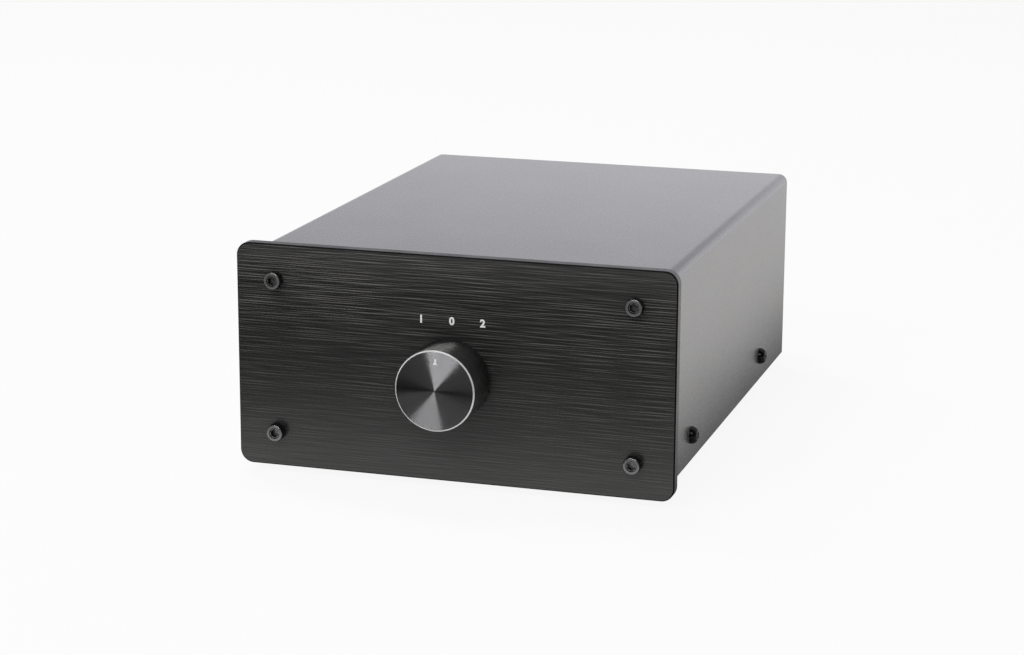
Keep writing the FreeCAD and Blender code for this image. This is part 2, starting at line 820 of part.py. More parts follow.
def tie_nuts():
    body = new_body("TieNuts", several=True)
    loops = [hexagon(d.tie_nut_width), (0, 0, tie_hole_radius)]
    extrude(body, "Nut", "Pad", "XZ_Plane", loops, wafer_rear_end, d.tie_nut_thickness)
    repeat(body, "Pair", "X_Axis", d.tie_radius * 2, 2)
    finish(body, "tie_nuts", -d.tie_radius, 0, d.knob_axis_height)


def wafer_spacers():
    body = new_body("WaferSpacers", several=True)
    loops = [(0, 0, d.spacer_radius), (0, 0, tie_hole_radius)]
    extrude(body, "Front", "Pad", "XZ_Plane", loops, housing_back, d.wafer_first_gap)
    start = wafer_front_start + d.wafer_thickness
    extrude(body, "Rear", "Pad", "XZ_Plane", loops, start, d.wafer_pitch - d.wafer_thickness)
    repeat(body, "Pair", "X_Axis", d.tie_radius * 2, 2)
    finish(body, "wafer_spacers", -d.tie_radius, 0, d.knob_axis_height)


def wafer(label, start):
    body = new_body("Wafer")
    loops = [
        (0, 0, d.wafer_radius),
        (0, 0, d.rotor_radius + d.rotor_clearance),
        (-d.tie_radius, 0, tie_hole_radius),
        (d.tie_radius, 0, tie_hole_radius),
    ]
    extrude(body, "Disc", "Pad", "XZ_Plane", loops, start, d.wafer_thickness)
    finish(body, label, 0, 0, d.knob_axis_height)


def lug_angles(side):
    # The angles of one wafer's lugs, left to right, above or below the shaft.
    gaps = SIZES["post_columns"] - 1
    first = d.lug_first_angle.number
    pitch = (180 - 2 * first) / gaps
    return [side * (180 - first - pitch * place) for place in range(gaps + 1)]


def wafer_lugs():
    body = new_body("WaferLugs", several=True)
    for name, start, side in (("Front", wafer_front_start, 1), ("Rear", wafer_rear_start, -1)):
        strips = []
        for degrees in lug_angles(side):
            strips.append(along_ray(degrees, d.lug_inner_radius, d.lug_outer_radius, d.lug_width / 2))
        extrude(body, name, "Pad", "XZ_Plane", strips, start + d.wafer_thickness, d.lug_thickness)
    finish(body, "wafer_lugs", 0, 0, d.knob_axis_height)


def drive_slot():
    across = d.shaft_drive_width / 2 + d.shaft_clearance
    return rectangle(-across, -shaft_hole_radius, across, shaft_hole_radius)


def rotors():
    body = new_body("Rotors", several=True)
    loops = [(0, 0, d.rotor_radius), drive_slot()]
    thickness = d.wafer_thickness + d.blade_gap * 2
    extrude(body, "Disc", "Pad", "XZ_Plane", loops, wafer_front_start - d.blade_gap, thickness)
    repeat(body, "Pair", "Y_Axis", d.wafer_pitch, 2)
    finish(body, "rotors", 0, 0, d.knob_axis_height)


def rotor_blades():
    # Two contact blades on the back of each rotor, parted at the left and the right.
    body = new_body("RotorBlades", several=True)
    start = wafer_front_start + d.wafer_thickness + d.blade_gap
    loops = [(0, 0, d.blade_radius), (0, 0, d.blade_inner_radius)]
    extrude(body, "Ring", "Pad", "XZ_Plane", loops, start, d.blade_thickness)
    half = d.blade_part_width / 2
    gap = [rectangle(-d.blade_radius, -half, d.blade_radius, half)]
    extrude(body, "Part", "Pocket", "XZ_Plane", gap, start, d.blade_thickness)
    repeat(body, "Pair", "Y_Axis", d.wafer_pitch, 2)
    finish(body, "rotor_blades", 0, 0, d.knob_axis_height)


def detent_wheel():
    body = new_body("DetentWheel")
    start = plate_back + d.moving_gap
    disc = [(0, 0, d.detent_wheel_radius), drive_slot()]
    extrude(body, "Disc", "Pad", "XZ_Plane", disc, start, d.detent_wheel_thickness)
    centre = d.detent_wheel_radius + d.detent_scallop_radius - d.detent_scallop_depth
    scallops = []
    for place in range(int(360 / d.step_angle.number)):
        across, up = polar(centre, place * d.step_angle.number)
        scallops.append((across, up, d.detent_scallop_radius))
    extrude(body, "Scallops", "Pocket", "XZ_Plane", scallops, start, d.detent_wheel_thickness)
    half = d.stop_lug_width / 2
    tip = d.housing_cavity_radius - d.moving_gap
    lug = [rectangle(-half, -tip, half, -(d.detent_wheel_radius - d.stop_lug_root))]
    extrude(body, "Lug", "Pad", "XZ_Plane", lug, start, d.detent_wheel_thickness)
    finish(body, "detent_wheel", 0, 0, d.knob_axis_height)


def switch_shaft():
    body = new_body("SwitchShaft")
    end = wafer_rear_end + d.screw_spare_length
    groove_radius = d.shaft_radius - d.clip_groove_depth
    groove_front = clip_front - d.shaft_clearance
    groove_back = clip_front + d.clip_thickness + d.shaft_clearance
    profile = [
        (0, -d.shaft_front_length),
        (d.shaft_radius, -d.shaft_front_length),
        (d.shaft_radius, groove_front),
        (groove_radius, groove_front),
        (groove_radius, groove_back),
        (d.shaft_radius, groove_back),
        (d.shaft_radius, end),
        (0, end),
    ]
    revolve(body, "Rod", "Revolution", "XY_Plane", profile, "Y_Axis")
    front_end = d.shaft_front_length - d.knob_gap - d.knob_recess_depth
    knob_flat = [rectangle(-d.shaft_radius, -d.shaft_radius, d.shaft_radius, -flat_height)]
    extrude(body, "KnobFlat", "Pocket", "XZ_Plane", knob_flat, -d.shaft_front_length, front_end)
    drive = d.shaft_drive_width / 2
    flats = [
        rectangle(-d.shaft_radius, -d.shaft_radius, -drive, d.shaft_radius),
        rectangle(drive, -d.shaft_radius, d.shaft_radius, d.shaft_radius),
    ]
    extrude(body, "DriveFlats", "Pocket", "XZ_Plane", flats, plate_back, end - plate_back)
    finish(body, "switch_shaft", 0, 0, d.knob_axis_height)


def shaft_clip():
    # A spring clip in the shaft's groove, open at the bottom.
    body = new_body("ShaftClip")
    inner = d.shaft_radius - d.clip_groove_depth + d.shaft_clearance
    loops = [(0, 0, d.clip_radius), (0, 0, inner)]
    extrude(body, "Ring", "Pad", "XZ_Plane", loops, clip_front, d.clip_thickness)
    half = d.clip_opening_width / 2
    mouth = [rectangle(-half, -d.clip_radius, half, 0)]
    extrude(body, "Mouth", "Pocket", "XZ_Plane", mouth, clip_front, d.clip_thickness)
    finish(body, "shaft_clip", 0, 0, d.knob_axis_height)


def knob():
    body = new_body("Knob")
    back = -d.knob_gap
    floor = back - d.knob_recess_depth
    profile = [
        (shaft_hole_radius, floor),
        (d.knob_recess_radius, floor),
        (d.knob_recess_radius, back),
        (d.knob_radius, back),
        (d.knob_radius, d.knob_chamfer - d.knob_reach),
        (d.knob_radius - d.knob_chamfer, -d.knob_reach),
        (0, -d.knob_reach),
        (0, -d.knob_bore_depth),
        (shaft_hole_radius, -d.knob_bore_depth),
    ]
    revolve(body, "Turned", "Revolution", "XY_Plane", profile, "Y_Axis")
    half = d.pointer_width / 2
    top = d.knob_radius - d.pointer_edge_gap
    mark = [rectangle(-half, top - d.pointer_length, half, top)]
    extrude(body, "Pointer", "Pocket", "XZ_Plane", mark, -d.knob_reach, d.pointer_depth)
    hole = [(0, grub_y, d.screw_radius + d.thread_clearance)]
    extrude(body, "GrubHole", "Pocket", "XY_Plane", hole, -d.knob_radius, d.knob_radius - flat_height)
    finish(body, "knob", 0, 0, d.knob_axis_height)


def knob_grub_screw():
    # It stands in the knob's underside and presses on the shaft's flat.
    body = new_body("KnobGrubScrew")
    bottom = -(flat_height + d.grub_length)
    extrude(body, "Rod", "Pad", "XY_Plane", [(0, 0, d.screw_radius)], bottom, d.grub_length)
    socket = [hexagon(d.grub_socket_width)]
    extrude(body, "Socket", "Pocket", "XY_Plane", socket, bottom, d.grub_length / 2)
    finish(body, "knob_grub_screw", 0, grub_y, d.knob_axis_height)


def place_posts(body, label, both_rows=True, height=None):
    rows = ("Z_Axis", d.post_pitch, 2) if both_rows else None
    repeat(body, "Posts", "X_Axis", post_span_x, SIZES["post_columns"], rows)
    finish(body, label, post_first_x, d.case_depth, height or d.post_lower_height)


def post_studs():
    body = new_body("PostStuds", several=True)
    back = post_reach - d.stud_end_inset
    bore_floor = back - d.plug_bore_depth
    profile = [
        (0, stud_front),
        (d.stud_radius, stud_front),
        (d.stud_radius, back),
        (d.plug_bore_radius, back),
        (d.plug_bore_radius, bore_floor),
        (0, bore_floor),
    ]
    revolve(body, "Stud", "Revolution", "XY_Plane", profile, "Y_Axis")
    hole = [(d.collar_thickness + d.lead_hole_setback, 0, d.lead_hole_radius)]
    extrude(body, "LeadHole", "Pocket", "YZ_Plane", hole, -d.stud_radius, d.stud_radius * 2)
    place_posts(body, "post_studs")


def post_collars(label, height):
    body = new_body("PostCollars", several=True)
    hole = d.stud_radius + d.post_fit
    profile = [
        (hole, -d.sheet_thickness),
        (d.collar_neck_radius, -d.sheet_thickness),
        (d.collar_neck_radius, 0),
        (d.collar_radius, 0),
        (d.collar_radius, d.collar_thickness),
        (hole, d.collar_thickness),
    ]
    revolve(body, "Collar", "Revolution", "XY_Plane", profile, "Y_Axis")
    place_posts(body, label, False, height)


def post_bushes():
    body = new_body("PostBushes", several=True)
    loops = [(0, 0, d.collar_radius), (0, 0, d.stud_radius + d.post_fit)]
    start = -(d.sheet_thickness + d.bush_thickness)
    extrude(body, "Bush", "Pad", "XZ_Plane", loops, start, d.bush_thickness)
    place_posts(body, "post_bushes")


def solder_tags():
    # One row's tags point down and the other row's point up.
    body = new_body("SolderTags", several=True)
    half = d.tag_width / 2
    low = -(d.post_pitch / 2)
    ring = [(0, low, d.tag_radius)]
    extrude(body, "Ring", "Pad", "XZ_Plane", ring, tag_front, d.tag_thickness)
    tongue = [rectangle(-half, low - d.tag_reach, half, low)]
    extrude(body, "Tongue", "Pad", "XZ_Plane", tongue, tag_front, d.tag_thickness)
    hole = [(0, low, d.stud_radius + d.post_fit)]
    extrude(body, "Hole", "Pocket", "XZ_Plane", hole, tag_front, d.tag_thickness)
    repeat(body, "Row", "X_Axis", post_span_x, SIZES["post_columns"])
    mirror = body.newObject("PartDesign::Mirrored", "UpperRow")
    mirror.TransformMode = "Whole shape"
    mirror.MirrorPlane = (origin_part(body, "XY_Plane"), [""])
    body.Tip = mirror
    finish(body, "solder_tags", post_first_x, d.case_depth, d.post_lower_height + d.post_pitch / 2)


def post_nuts():
    body = new_body("PostNuts", several=True)
    loops = [hexagon(d.post_nut_width), (0, 0, d.stud_radius + d.thread_clearance)]
    start = tag_front - d.post_nut_thickness
    extrude(body, "Nut", "Pad", "XZ_Plane", loops, start, d.post_nut_thickness)
    place_posts(body, "post_nuts")


def cap_master():
    # A fluted cap, hollow for the threaded insert that is held inside it.
    body = new_body("CapMaster")
    mouth = d.stud_radius + d.cap_mouth_clearance
    chamber = d.insert_radius + d.insert_clearance
    chamber_front = cap_front + d.cap_wall_length
    chamber_back = post_reach - d.cap_wall_length
    profile = [
        (mouth, cap_front),
        (d.cap_radius, cap_front),
        (d.cap_radius, post_reach - d.cap_edge_round),
        (d.cap_radius - d.cap_edge_round, post_reach),
        (mouth, post_reach),
        (mouth, chamber_back),
        (chamber, chamber_back),
        (chamber, chamber_front),
        (mouth, chamber_front),
    ]
    revolve(body, "Turned", "Revolution", "XY_Plane", profile, "Y_Axis")
    centre = d.cap_radius + d.cap_flute_radius - d.cap_flute_depth
    flutes = []
    for place in range(SIZES["cap_flute_count"]):
        across, up = polar(centre, 360 * place / SIZES["cap_flute_count"])
        flutes.append((across, up, d.cap_flute_radius))
    start = cap_front + d.cap_plain_length
    extrude(body, "Flutes", "Pocket", "XZ_Plane", flutes, start, d.cap_length - d.cap_plain_length)
    return body


def insert_master():
    body = new_body("InsertMaster")
    loops = [(0, 0, d.insert_radius), (0, 0, d.stud_radius + d.insert_clearance)]
    start = cap_front + d.cap_wall_length + d.insert_clearance
    length = d.cap_length - d.cap_wall_length * 2 - d.insert_clearance * 2
    extrude(body, "Tube", "Pad", "XZ_Plane", loops, start, length)
    return body


def caps_and_inserts():
    cap = cap_master()
    insert = insert_master()
    rows = (("black", d.post_lower_height), ("red", d.post_lower_height + d.post_pitch))
    for colour, height in rows:
        for column in range(SIZES["post_columns"]):
            across = post_first_x + d.post_pitch * column
            for source, kind in ((cap, "post_cap"), (insert, "cap_insert")):
                piece = doc.addObject("Part::Compound", "Placed")
                piece.Links = [source]
                finish(piece, f"{kind}_{colour}_{column + 1}", across, d.case_depth, height)


def tube_along(points, radius):
    # Straight runs joined by tangent arcs, each as large as its two runs allow.
    edges = []
    last = points[0]
    for before, corner, after in zip(points, points[1:], points[2:]):
        into = (corner - before).normalize()
        out = (after - corner).normalize()
        half_turn = into.getAngle(out) / 2
        reach = 0.45 * min((corner - before).Length, (after - corner).Length)
        start = corner - into * reach
        end = corner + out * reach
        bend = reach / math.tan(half_turn)
        inward = (out - into).normalize()
        middle = corner + inward * (bend / math.cos(half_turn) - bend)
        edges.append(Part.LineSegment(last, start).toShape())
        edges.append(Part.Arc(start, middle, end).toShape())
        last = end
    edges.append(Part.LineSegment(last, points[-1]).toShape())
    path = Part.Wire(edges)
    direction = points[1] - points[0]
    section = Part.Wire(Part.makeCircle(radius, points[0], direction))
    tube = path.makePipeShell([section], True, False)
    expected = math.pi * radius**2 * path.Length
    if abs(tube.Volume - expected) > expected / 100:
        raise SystemExit("A wire's volume is wrong")
    return tube


def wires(label, row_height, side, wafer_start):
    # One wire from each solder tag of a row forward to its lug on a wafer.
    tag_offset = d.tag_reach.number - d.tag_width.number / 2
    start_y = d.case_depth.number + tag_front.number
    end_y = (wafer_start + d.wafer_thickness + d.lug_thickness).number
    lead = d.wire_lead_out.number
    reach = d.lug_outer_radius - d.lug_wire_inset
    tubes = []
    for column, degrees in enumerate(lug_angles(side)):
        across = (post_first_x + d.post_pitch * column).number
        up = row_height.number + side * tag_offset
        lug_across, lug_up = [part.number for part in polar(reach, degrees)]
        lug_up += d.knob_axis_height.number
        middle_up = (up + lug_up) / 2 + d.wire_slack.number
        points = [
            FreeCAD.Vector(across, start_y, up),
            FreeCAD.Vector(across, start_y - lead, up),
            FreeCAD.Vector((across + lug_across) / 2, (start_y + end_y) / 2, middle_up),
            FreeCAD.Vector(lug_across, end_y + lead, lug_up),
            FreeCAD.Vector(lug_across, end_y, lug_up),
        ]
        tubes.append(tube_along(points, d.wire_radius.number))
    loom = doc.addObject("Part::Feature", "Wires")
    loom.Shape = Part.makeCompound(tubes)
    finish(loom, label)


for build in (
    front_panel,
    panel_screws,
    panel_nuts,
    chassis_tray,
    top_cover,
    cover_screws,
    feet,
    foot_screws,
    press_nuts,
    switch_bushing,
    switch_washer,
    switch_nut,
    detent_housing,
    detent_balls,
    detent_springs,
    tie_screws,
    tie_nuts,
    wafer_spacers,
    wafer_lugs,
    rotors,
    rotor_blades,
    detent_wheel,
    switch_shaft,
    shaft_clip,
    knob,
    knob_grub_screw,
    post_studs,
    post_bushes,
    solder_tags,
    post_nuts,
    caps_and_inserts,
):
    build()
wafer("wafer_front", wafer_front_start)
wafer("wafer_rear", wafer_rear_start)
post_collars("post_collars_black", d.post_lower_height)
post_collars("post_collars_red", d.post_lower_height + d.post_pitch)
wires("wires_black", d.post_lower_height, -1, wafer_rear_start)
wires("wires_red", d.post_lower_height + d.post_pitch, 1, wafer_front_start)

doc.recompute()
for item in doc.Objects:
    if "Invalid" in item.State or "Error" in item.State:
        raise SystemExit(f"{item.Label}: {item.State}")
os.makedirs("parts", exist_ok=True)
for item in finished:
    shape = item.Shape
    if shape.isNull() or not shape.isValid():
        raise SystemExit(f"{item.Label}: bad shape")
    shape.exportStep(f"parts/{item.Label}.step")
    print(item.Label, len(shape.Solids), round(shape.Volume, 2))
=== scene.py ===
import json
import math
import bmesh
import bpy
from mathutils import Matrix, Vector


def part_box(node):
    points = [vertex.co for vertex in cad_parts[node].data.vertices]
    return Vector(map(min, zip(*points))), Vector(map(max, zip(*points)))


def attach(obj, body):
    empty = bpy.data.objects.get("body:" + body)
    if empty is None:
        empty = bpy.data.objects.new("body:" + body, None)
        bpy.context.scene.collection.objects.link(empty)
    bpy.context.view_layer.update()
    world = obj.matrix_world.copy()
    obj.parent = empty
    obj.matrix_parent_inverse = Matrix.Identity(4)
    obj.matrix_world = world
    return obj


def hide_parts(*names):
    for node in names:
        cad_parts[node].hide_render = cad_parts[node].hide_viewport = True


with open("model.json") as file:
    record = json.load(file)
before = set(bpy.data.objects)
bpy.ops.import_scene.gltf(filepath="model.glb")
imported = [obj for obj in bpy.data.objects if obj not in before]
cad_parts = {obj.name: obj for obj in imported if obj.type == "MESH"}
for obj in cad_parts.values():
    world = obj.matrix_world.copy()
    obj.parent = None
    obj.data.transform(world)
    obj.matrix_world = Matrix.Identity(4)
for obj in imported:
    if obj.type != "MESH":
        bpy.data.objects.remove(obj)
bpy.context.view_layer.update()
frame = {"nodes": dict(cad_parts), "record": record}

mm = 0.001
tiny = 0.001 * mm
quarter = math.pi / 2
panelLow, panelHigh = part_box("front_panel")
coverLow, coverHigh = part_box("top_cover")
trayLow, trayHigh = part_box("chassis_tray")
knobLow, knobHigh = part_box("knob")
knobAxis = (knobLow + knobHigh) / 2

# The camera stands where the photograph was taken from.
cameraLook = {
    "place": (0.2405, -0.81255, 0.2384),
    "right": (0.95547, 0.29509, 0.00439),
    "up": (-0.07472, 0.22749, 0.97091),
    "back": (0.2855, -0.9280, 0.2394),
    "lens": 90.86,
    "sensor": 36.0,
    "near": 0.01,
}


def addCamera():
    data = bpy.data.cameras.new("photoCamera")
    data.lens = cameraLook["lens"]
    data.sensor_width = cameraLook["sensor"]
    data.sensor_fit = "HORIZONTAL"
    data.clip_start = cameraLook["near"]
    item = bpy.data.objects.new("photoCamera", data)
    bpy.context.scene.collection.objects.link(item)
    turn = Matrix([cameraLook["right"], cameraLook["up"], cameraLook["back"]]).transposed()
    item.matrix_world = Matrix.Translation(cameraLook["place"]) @ turn.to_4x4()
    bpy.context.scene.camera = item


addCamera()
print("camera set")


# A socket's value in shader maths: an expression on values adds its Math nodes.
class Value:
    def __init__(self, shader, socket):
        self.shader = shader
        self.socket = socket

    def maths(self, operation, *numbers):
        sockets = dict(enumerate(numbers))
        return self.shader.add("ShaderNodeMath", {"operation": operation}, sockets)["Value"]

    def __add__(self, other):
        return self.maths("ADD", self, other)

    def __radd__(self, other):
        return self.maths("ADD", other, self)

    def __sub__(self, other):
        return self.maths("SUBTRACT", self, other)

    def __rsub__(self, other):
        return self.maths("SUBTRACT", other, self)

    def __mul__(self, other):
        return self.maths("MULTIPLY", self, other)

    def __rmul__(self, other):
        return self.maths("MULTIPLY", other, self)

    def __truediv__(self, other):
        return self.maths("DIVIDE", self, other)

    def __rtruediv__(self, other):
        return self.maths("DIVIDE", other, self)

    def __pow__(self, other):
        return self.maths("POWER", self, other)

    def sine(self):
        return self.maths("SINE", self)

    def root(self):
        return self.maths("SQRT", self)

    def atLeast(self, other):
        return self.maths("MAXIMUM", self, other)

    def absolute(self):
        return self.maths("ABSOLUTE", self)


class Node:
    def __init__(self, shader, node):
        self.shader = shader
        self.node = node

    def __getitem__(self, name):
        for socket in self.node.outputs:
            if socket.enabled and name in (socket.identifier, socket.name):
                return Value(self.shader, socket)
        raise KeyError(name)


noiseSpan = (0.3, 0.7)


# A material's nodes. Noises are read over the span in which most of their values lie.
class Shader:
    def __init__(self, name, owner=None):
        self.material = owner or bpy.data.materials.new(name)
        self.material.use_nodes = True
        self.tree = self.material.node_tree
        self.tree.nodes.clear()

    def add(self, kind, settings=None, sockets=None):
        # Any node: its settings first, then the values or links of its sockets.
        node = self.tree.nodes.new(kind)
        for name, value in (settings or {}).items():
            setattr(node, name, value)
        for name, value in (sockets or {}).items():
            self.feed(self.findInput(node, name), value)
        return Node(self, node)

    def findInput(self, node, name):
        if isinstance(name, int):
            return node.inputs[name]
        for socket in node.inputs:
            if socket.enabled and name in (socket.identifier, socket.name):
                return socket
        raise KeyError(name)

    def feed(self, socket, value):
        if isinstance(value, Value):
            self.tree.links.new(value.socket, socket)
        elif isinstance(value, (tuple, list)) and socket.type == "RGBA":
            socket.default_value = (*value[:3], 1)
        else:
            socket.default_value = value

    def position(self):
        return self.add("ShaderNodeTexCoord")["Object"]

    def parts(self, vector):
        return self.add("ShaderNodeSeparateXYZ", {}, {"Vector": vector})

    def vector(self, x, y, z):
        return self.add("ShaderNodeCombineXYZ", {}, {"X": x, "Y": y, "Z": z})["Vector"]

    def stretched(self, scale, shift=(0, 0, 0)):
        sockets = {"Vector": self.position(), "Location": shift, "Scale": scale}
        return self.add("ShaderNodeMapping", {}, sockets)["Vector"]

    def noise(self, vector, scale, detail=2.0, roughness=0.5):
        sockets = {"Vector": vector, "Scale": scale, "Detail": detail, "Roughness": roughness}
        return self.add("ShaderNodeTexNoise", {}, sockets)["Fac"]

    def spread(self, value, fromLow, fromHigh, toLow, toHigh):
        sockets = {
            "Value": value, "From Min": fromLow, "From Max": fromHigh,
            "To Min": toLow, "To Max": toHigh,
        }
        return self.add("ShaderNodeMapRange", {"clamp": True}, sockets)["Result"]

    def vary(self, noise, low, high):
        return self.spread(noise, *noiseSpan, low, high)

    def mixColor(self, factor, first, second):
        sockets = {"Factor_Float": factor, "A_Color": first, "B_Color": second}
        return self.add("ShaderNodeMix", {"data_type": "RGBA"}, sockets)["Result_Color"]

    def bump(self, height, distance, strength=1.0):
        sockets = {"Height": height, "Distance": distance, "Strength": strength}
        return self.add("ShaderNodeBump", {}, sockets)["Normal"]

    def finish(self, sockets):
        surface = self.add("ShaderNodeBsdfPrincipled", {}, sockets)["BSDF"]
        self.add("ShaderNodeOutputMaterial", {}, {"Surface": surface})
        return self.material


def shaded(color, factor):
    return tuple(part * factor for part in color)


# Finishes

panelFinish = {
    "dark": (0.0105, 0.0102, 0.0097),
    "light": (0.17, 0.166, 0.161),
    "lineScale": (55, 1, 3300),
    "pitch": 0.31 * mm,
    "contrast": 0.6,
    "brightSpan": (0.42, 0.72),
    "power": 1.6,
    "cloudScale": (14, 1, 60),
    "cloudShift": (1, 0, 5),
    "cloudLevels": (0.5, 1),
    "fadeHeights": (12 * mm, 50 * mm),
    "fadeLevels": (0.3, 1),
    # These heights and levels paint a lighter sheen along the panel's top edge.
    "topHeights": (60 * mm, 71 * mm),
    "topLevels": (0, 0.13),
    "roughSpan": (0.35, 0.65),
    "roughness": (0.36, 0.26),
    "gloss": 0.88,
    "anisotropy": 0.3,
    "turn": 0.25,
    "lineDepth": 0.008 * mm,
}


def brushedPanel():
    # Black anodised plate, brushed from side to side: the lines fade towards the bottom, and a
    # painted sheen lightens the top edge.
    s = Shader("brushedPanel")
    look = panelFinish
    scale = look["lineScale"]
    fine = s.noise(s.stretched(scale), 1.0, 0.0)
    beside = s.noise(s.stretched(scale, (0, 0, look["pitch"] * scale[2])), 1.0, 0.0)
    cloudy = s.noise(s.stretched(look["cloudScale"], look["cloudShift"]), 1.0, 2.0)
    # Taking off the value a pitch away leaves only the thin lines.
    lines = (fine - beside) * look["contrast"] + 0.5
    height = s.parts(s.position())["Z"]
    strength = s.spread(height, *look["fadeHeights"], *look["fadeLevels"])
    bright = s.spread(lines, *look["brightSpan"], 0, 1) ** look["power"]
    bright = bright * s.vary(cloudy, *look["cloudLevels"]) * strength
    # Painted sheen: the colour lightens towards the top edge, standing in for light from above.
    bright = bright + s.spread(height, *look["topHeights"], *look["topLevels"])
    return s.finish({
        "Base Color": s.mixColor(bright, look["dark"], look["light"]),
        "Specular IOR Level": look["gloss"],
        "Anisotropic": look["anisotropy"],
        "Anisotropic Rotation": look["turn"],
        "Roughness": s.spread(lines, *look["roughSpan"], *look["roughness"]),
        "Normal": s.bump(lines, look["lineDepth"]),
    })


paintFinish = {
    "grain": 2400, "grainDepth": 0.0035 * mm, "roughness": (0.24, 0.28), "index": 2.3,
    "coat": 0.4, "coatRoughness": 0.24, "speckSpan": (0.35, 0.65), "cloud": 30.0,
    "shares": (0.7, 0.3), "shades": (0.6, 1.4),
}


def texturedPaint(name, color):
    # Satin paint with a fine, even texture.
    s = Shader(name)
    look = paintFinish
    fine = s.noise(s.position(), look["grain"], 2.0, 0.6)
    cloudy = s.noise(s.position(), look["cloud"], 3.0)
    fineShare, cloudShare = look["shares"]
    speck = s.spread(fine, *look["speckSpan"], 0, 1) * fineShare
    speck = speck + s.vary(cloudy, 0, 1) * cloudShare
    dark, light = look["shades"]
    return s.finish({
        "Base Color": s.mixColor(speck, shaded(color, dark), shaded(color, light)),
        "Roughness": s.vary(fine, *look["roughness"]),
        "IOR": look["index"],
        "Coat Weight": look["coat"],
        "Coat Roughness": look["coatRoughness"],
        "Normal": s.bump(fine, look["grainDepth"]),
    })


knobFinish = {
    "pitch": 0.21 * mm,
    "sharpness": 3.0,
    "lean": 0.25,
    "faceSlope": 0.61,
    "sideSlope": 0.6,
    "face": (0.108, 0.108, 0.111),
    "side": (0.09, 0.089, 0.086),
    "faceRoughness": (0.19, 0.25),
    "sideRoughness": (0.24, 0.3),
    "middle": 0.05 * mm,
    "ringScale": 4000.0,
    "shades": (0.75, 1.25),
}


def turnedMetal(name, color, slope, isFace):
    # Lathe-turned black metal: each fine ring leans to and fro, which makes the fans of light.
    s = Shader(name)
    look = knobFinish
    place = s.parts(s.position())
    across = place["X"] - knobAxis.x
    up = place["Z"] - knobAxis.z
    radius = (across * across + up * up).root().atLeast(look["middle"])
    travel = radius if isFace else place["Y"]
    wave = ((travel * (math.tau / look["pitch"])).sine() + look["lean"]) * look["sharpness"]
    wave = s.spread(wave, -1, 1, -slope, slope)
    outward = wave / radius if isFace else 1.0 / radius
    forward = -1.0 if isFace else wave
    turn = {"vector_type": "NORMAL", "convert_from": "OBJECT", "convert_to": "WORLD"}
    leaning = {"Vector": s.vector(across * outward, forward, up * outward)}
    normal = s.add("ShaderNodeVectorTransform", turn, leaning)["Vector"]
    rings = s.noise(s.vector(travel, 0.0, 0.0), look["ringScale"], 2.0)
    roughness = look["faceRoughness"] if isFace else look["sideRoughness"]
    dark, light = look["shades"]
    return s.finish({
        "Base Color": s.mixColor(rings, shaded(color, dark), shaded(color, light)),
        "Metallic": 1.0,
        "Roughness": s.vary(rings, *roughness),
        "Normal": normal,
    })


anodisedFinish = {
    "cloud": 160.0, "grain": 3200.0, "grainDepth": 0.003 * mm, "shades": (0.8, 1.15),
    "roughness": (0.85, 1.15),
}


def anodised(name, color, roughness=0.3, metallic=0.0, gloss=0.4):
    # Anodised or blackened metal, faintly cloudy.
    s = Shader(name)
    look = anodisedFinish
    cloudy = s.noise(s.position(), look["cloud"], 3.0)
    fine = s.noise(s.position(), look["grain"], 2.0)
    dark, light = look["shades"]
    low, high = look["roughness"]
    return s.finish({
        "Base Color": s.mixColor(cloudy, shaded(color, dark), shaded(color, light)),
        "Metallic": metallic,
        "Specular IOR Level": gloss,
        "Roughness": s.vary(cloudy, roughness * low, roughness * high),
        "Normal": s.bump(fine, look["grainDepth"]),
    })


brightFinish = {
    "cloud": 260.0, "cloudSpan": (0.35, 0.65), "dark": 0.82, "roughness": (0.7, 1.4),
    "lineDepth": 0.003 * mm,
}


def brightMetal(name, color, roughness=0.22, scratches=900.0):
    # Plated or ground metal with fine scratches.
    s = Shader(name)
    look = brightFinish
    worn = s.noise(s.position(), look["cloud"], 3.0)
    lines = s.noise(s.position(), scratches, 3.0, 0.7)
    worn = s.spread(worn, *look["cloudSpan"], 0, 1)
    low, high = look["roughness"]
    return s.finish({
        "Base Color": s.mixColor(worn, shaded(color, look["dark"]), color),
        "Metallic": 1.0,
        "Roughness": s.vary(lines, roughness * low, roughness * high),
        "Normal": s.bump(lines, look["lineDepth"]),
    })


mouldedFinish = {
    "cloud": 150.0, "grainDepth": 0.006 * mm, "shades": (0.8, 1.1), "roughness": (0.85, 1.2),
}


def moulded(name, color, roughness=0.3, grain=1800.0):
    # Plastic or rubber with the grain of its mould.
    s = Shader(name)
    look = mouldedFinish
    cloudy = s.noise(s.position(), look["cloud"], 2.0)
    fine = s.noise(s.position(), grain, 2.0)
    dark, light = look["shades"]
    low, high = look["roughness"]
    return s.finish({
        "Base Color": s.mixColor(cloudy, shaded(color, dark), shaded(color, light)),
        "Roughness": s.vary(fine, roughness * low, roughness * high),
        "Normal": s.bump(fine, look["grainDepth"]),
    })


printFinish = {
    "grain": 5000.0, "dark": (0.9, 0.9, 0.89), "light": (1.0, 1.0, 0.99), "roughness": (0.4, 0.6),
}


def whitePrint():
    s = Shader("whitePrint")
    look = printFinish
    fine = s.noise(s.position(), look["grain"], 2.0)
    return s.finish({
        "Base Color": s.mixColor(fine, look["dark"], look["light"]),
        "Roughness": s.vary(fine, *look["roughness"]),
    })


boardFinish = {
    "weave": (300, 1400, 300), "dark": (0.2, 0.1, 0.045), "light": (0.34, 0.18, 0.08),
    "roughness": (0.4, 0.6), "weaveDepth": 0.01 * mm,
}


def phenolicBoard():
    s = Shader("phenolicBoard")
    look = boardFinish
    weave = s.noise(s.stretched(look["weave"]), 1.0, 3.0)
    return s.finish({
        "Base Color": s.mixColor(weave, look["dark"], look["light"]),
        "Roughness": s.vary(weave, *look["roughness"]),
        "Normal": s.bump(weave, look["weaveDepth"]),
    })


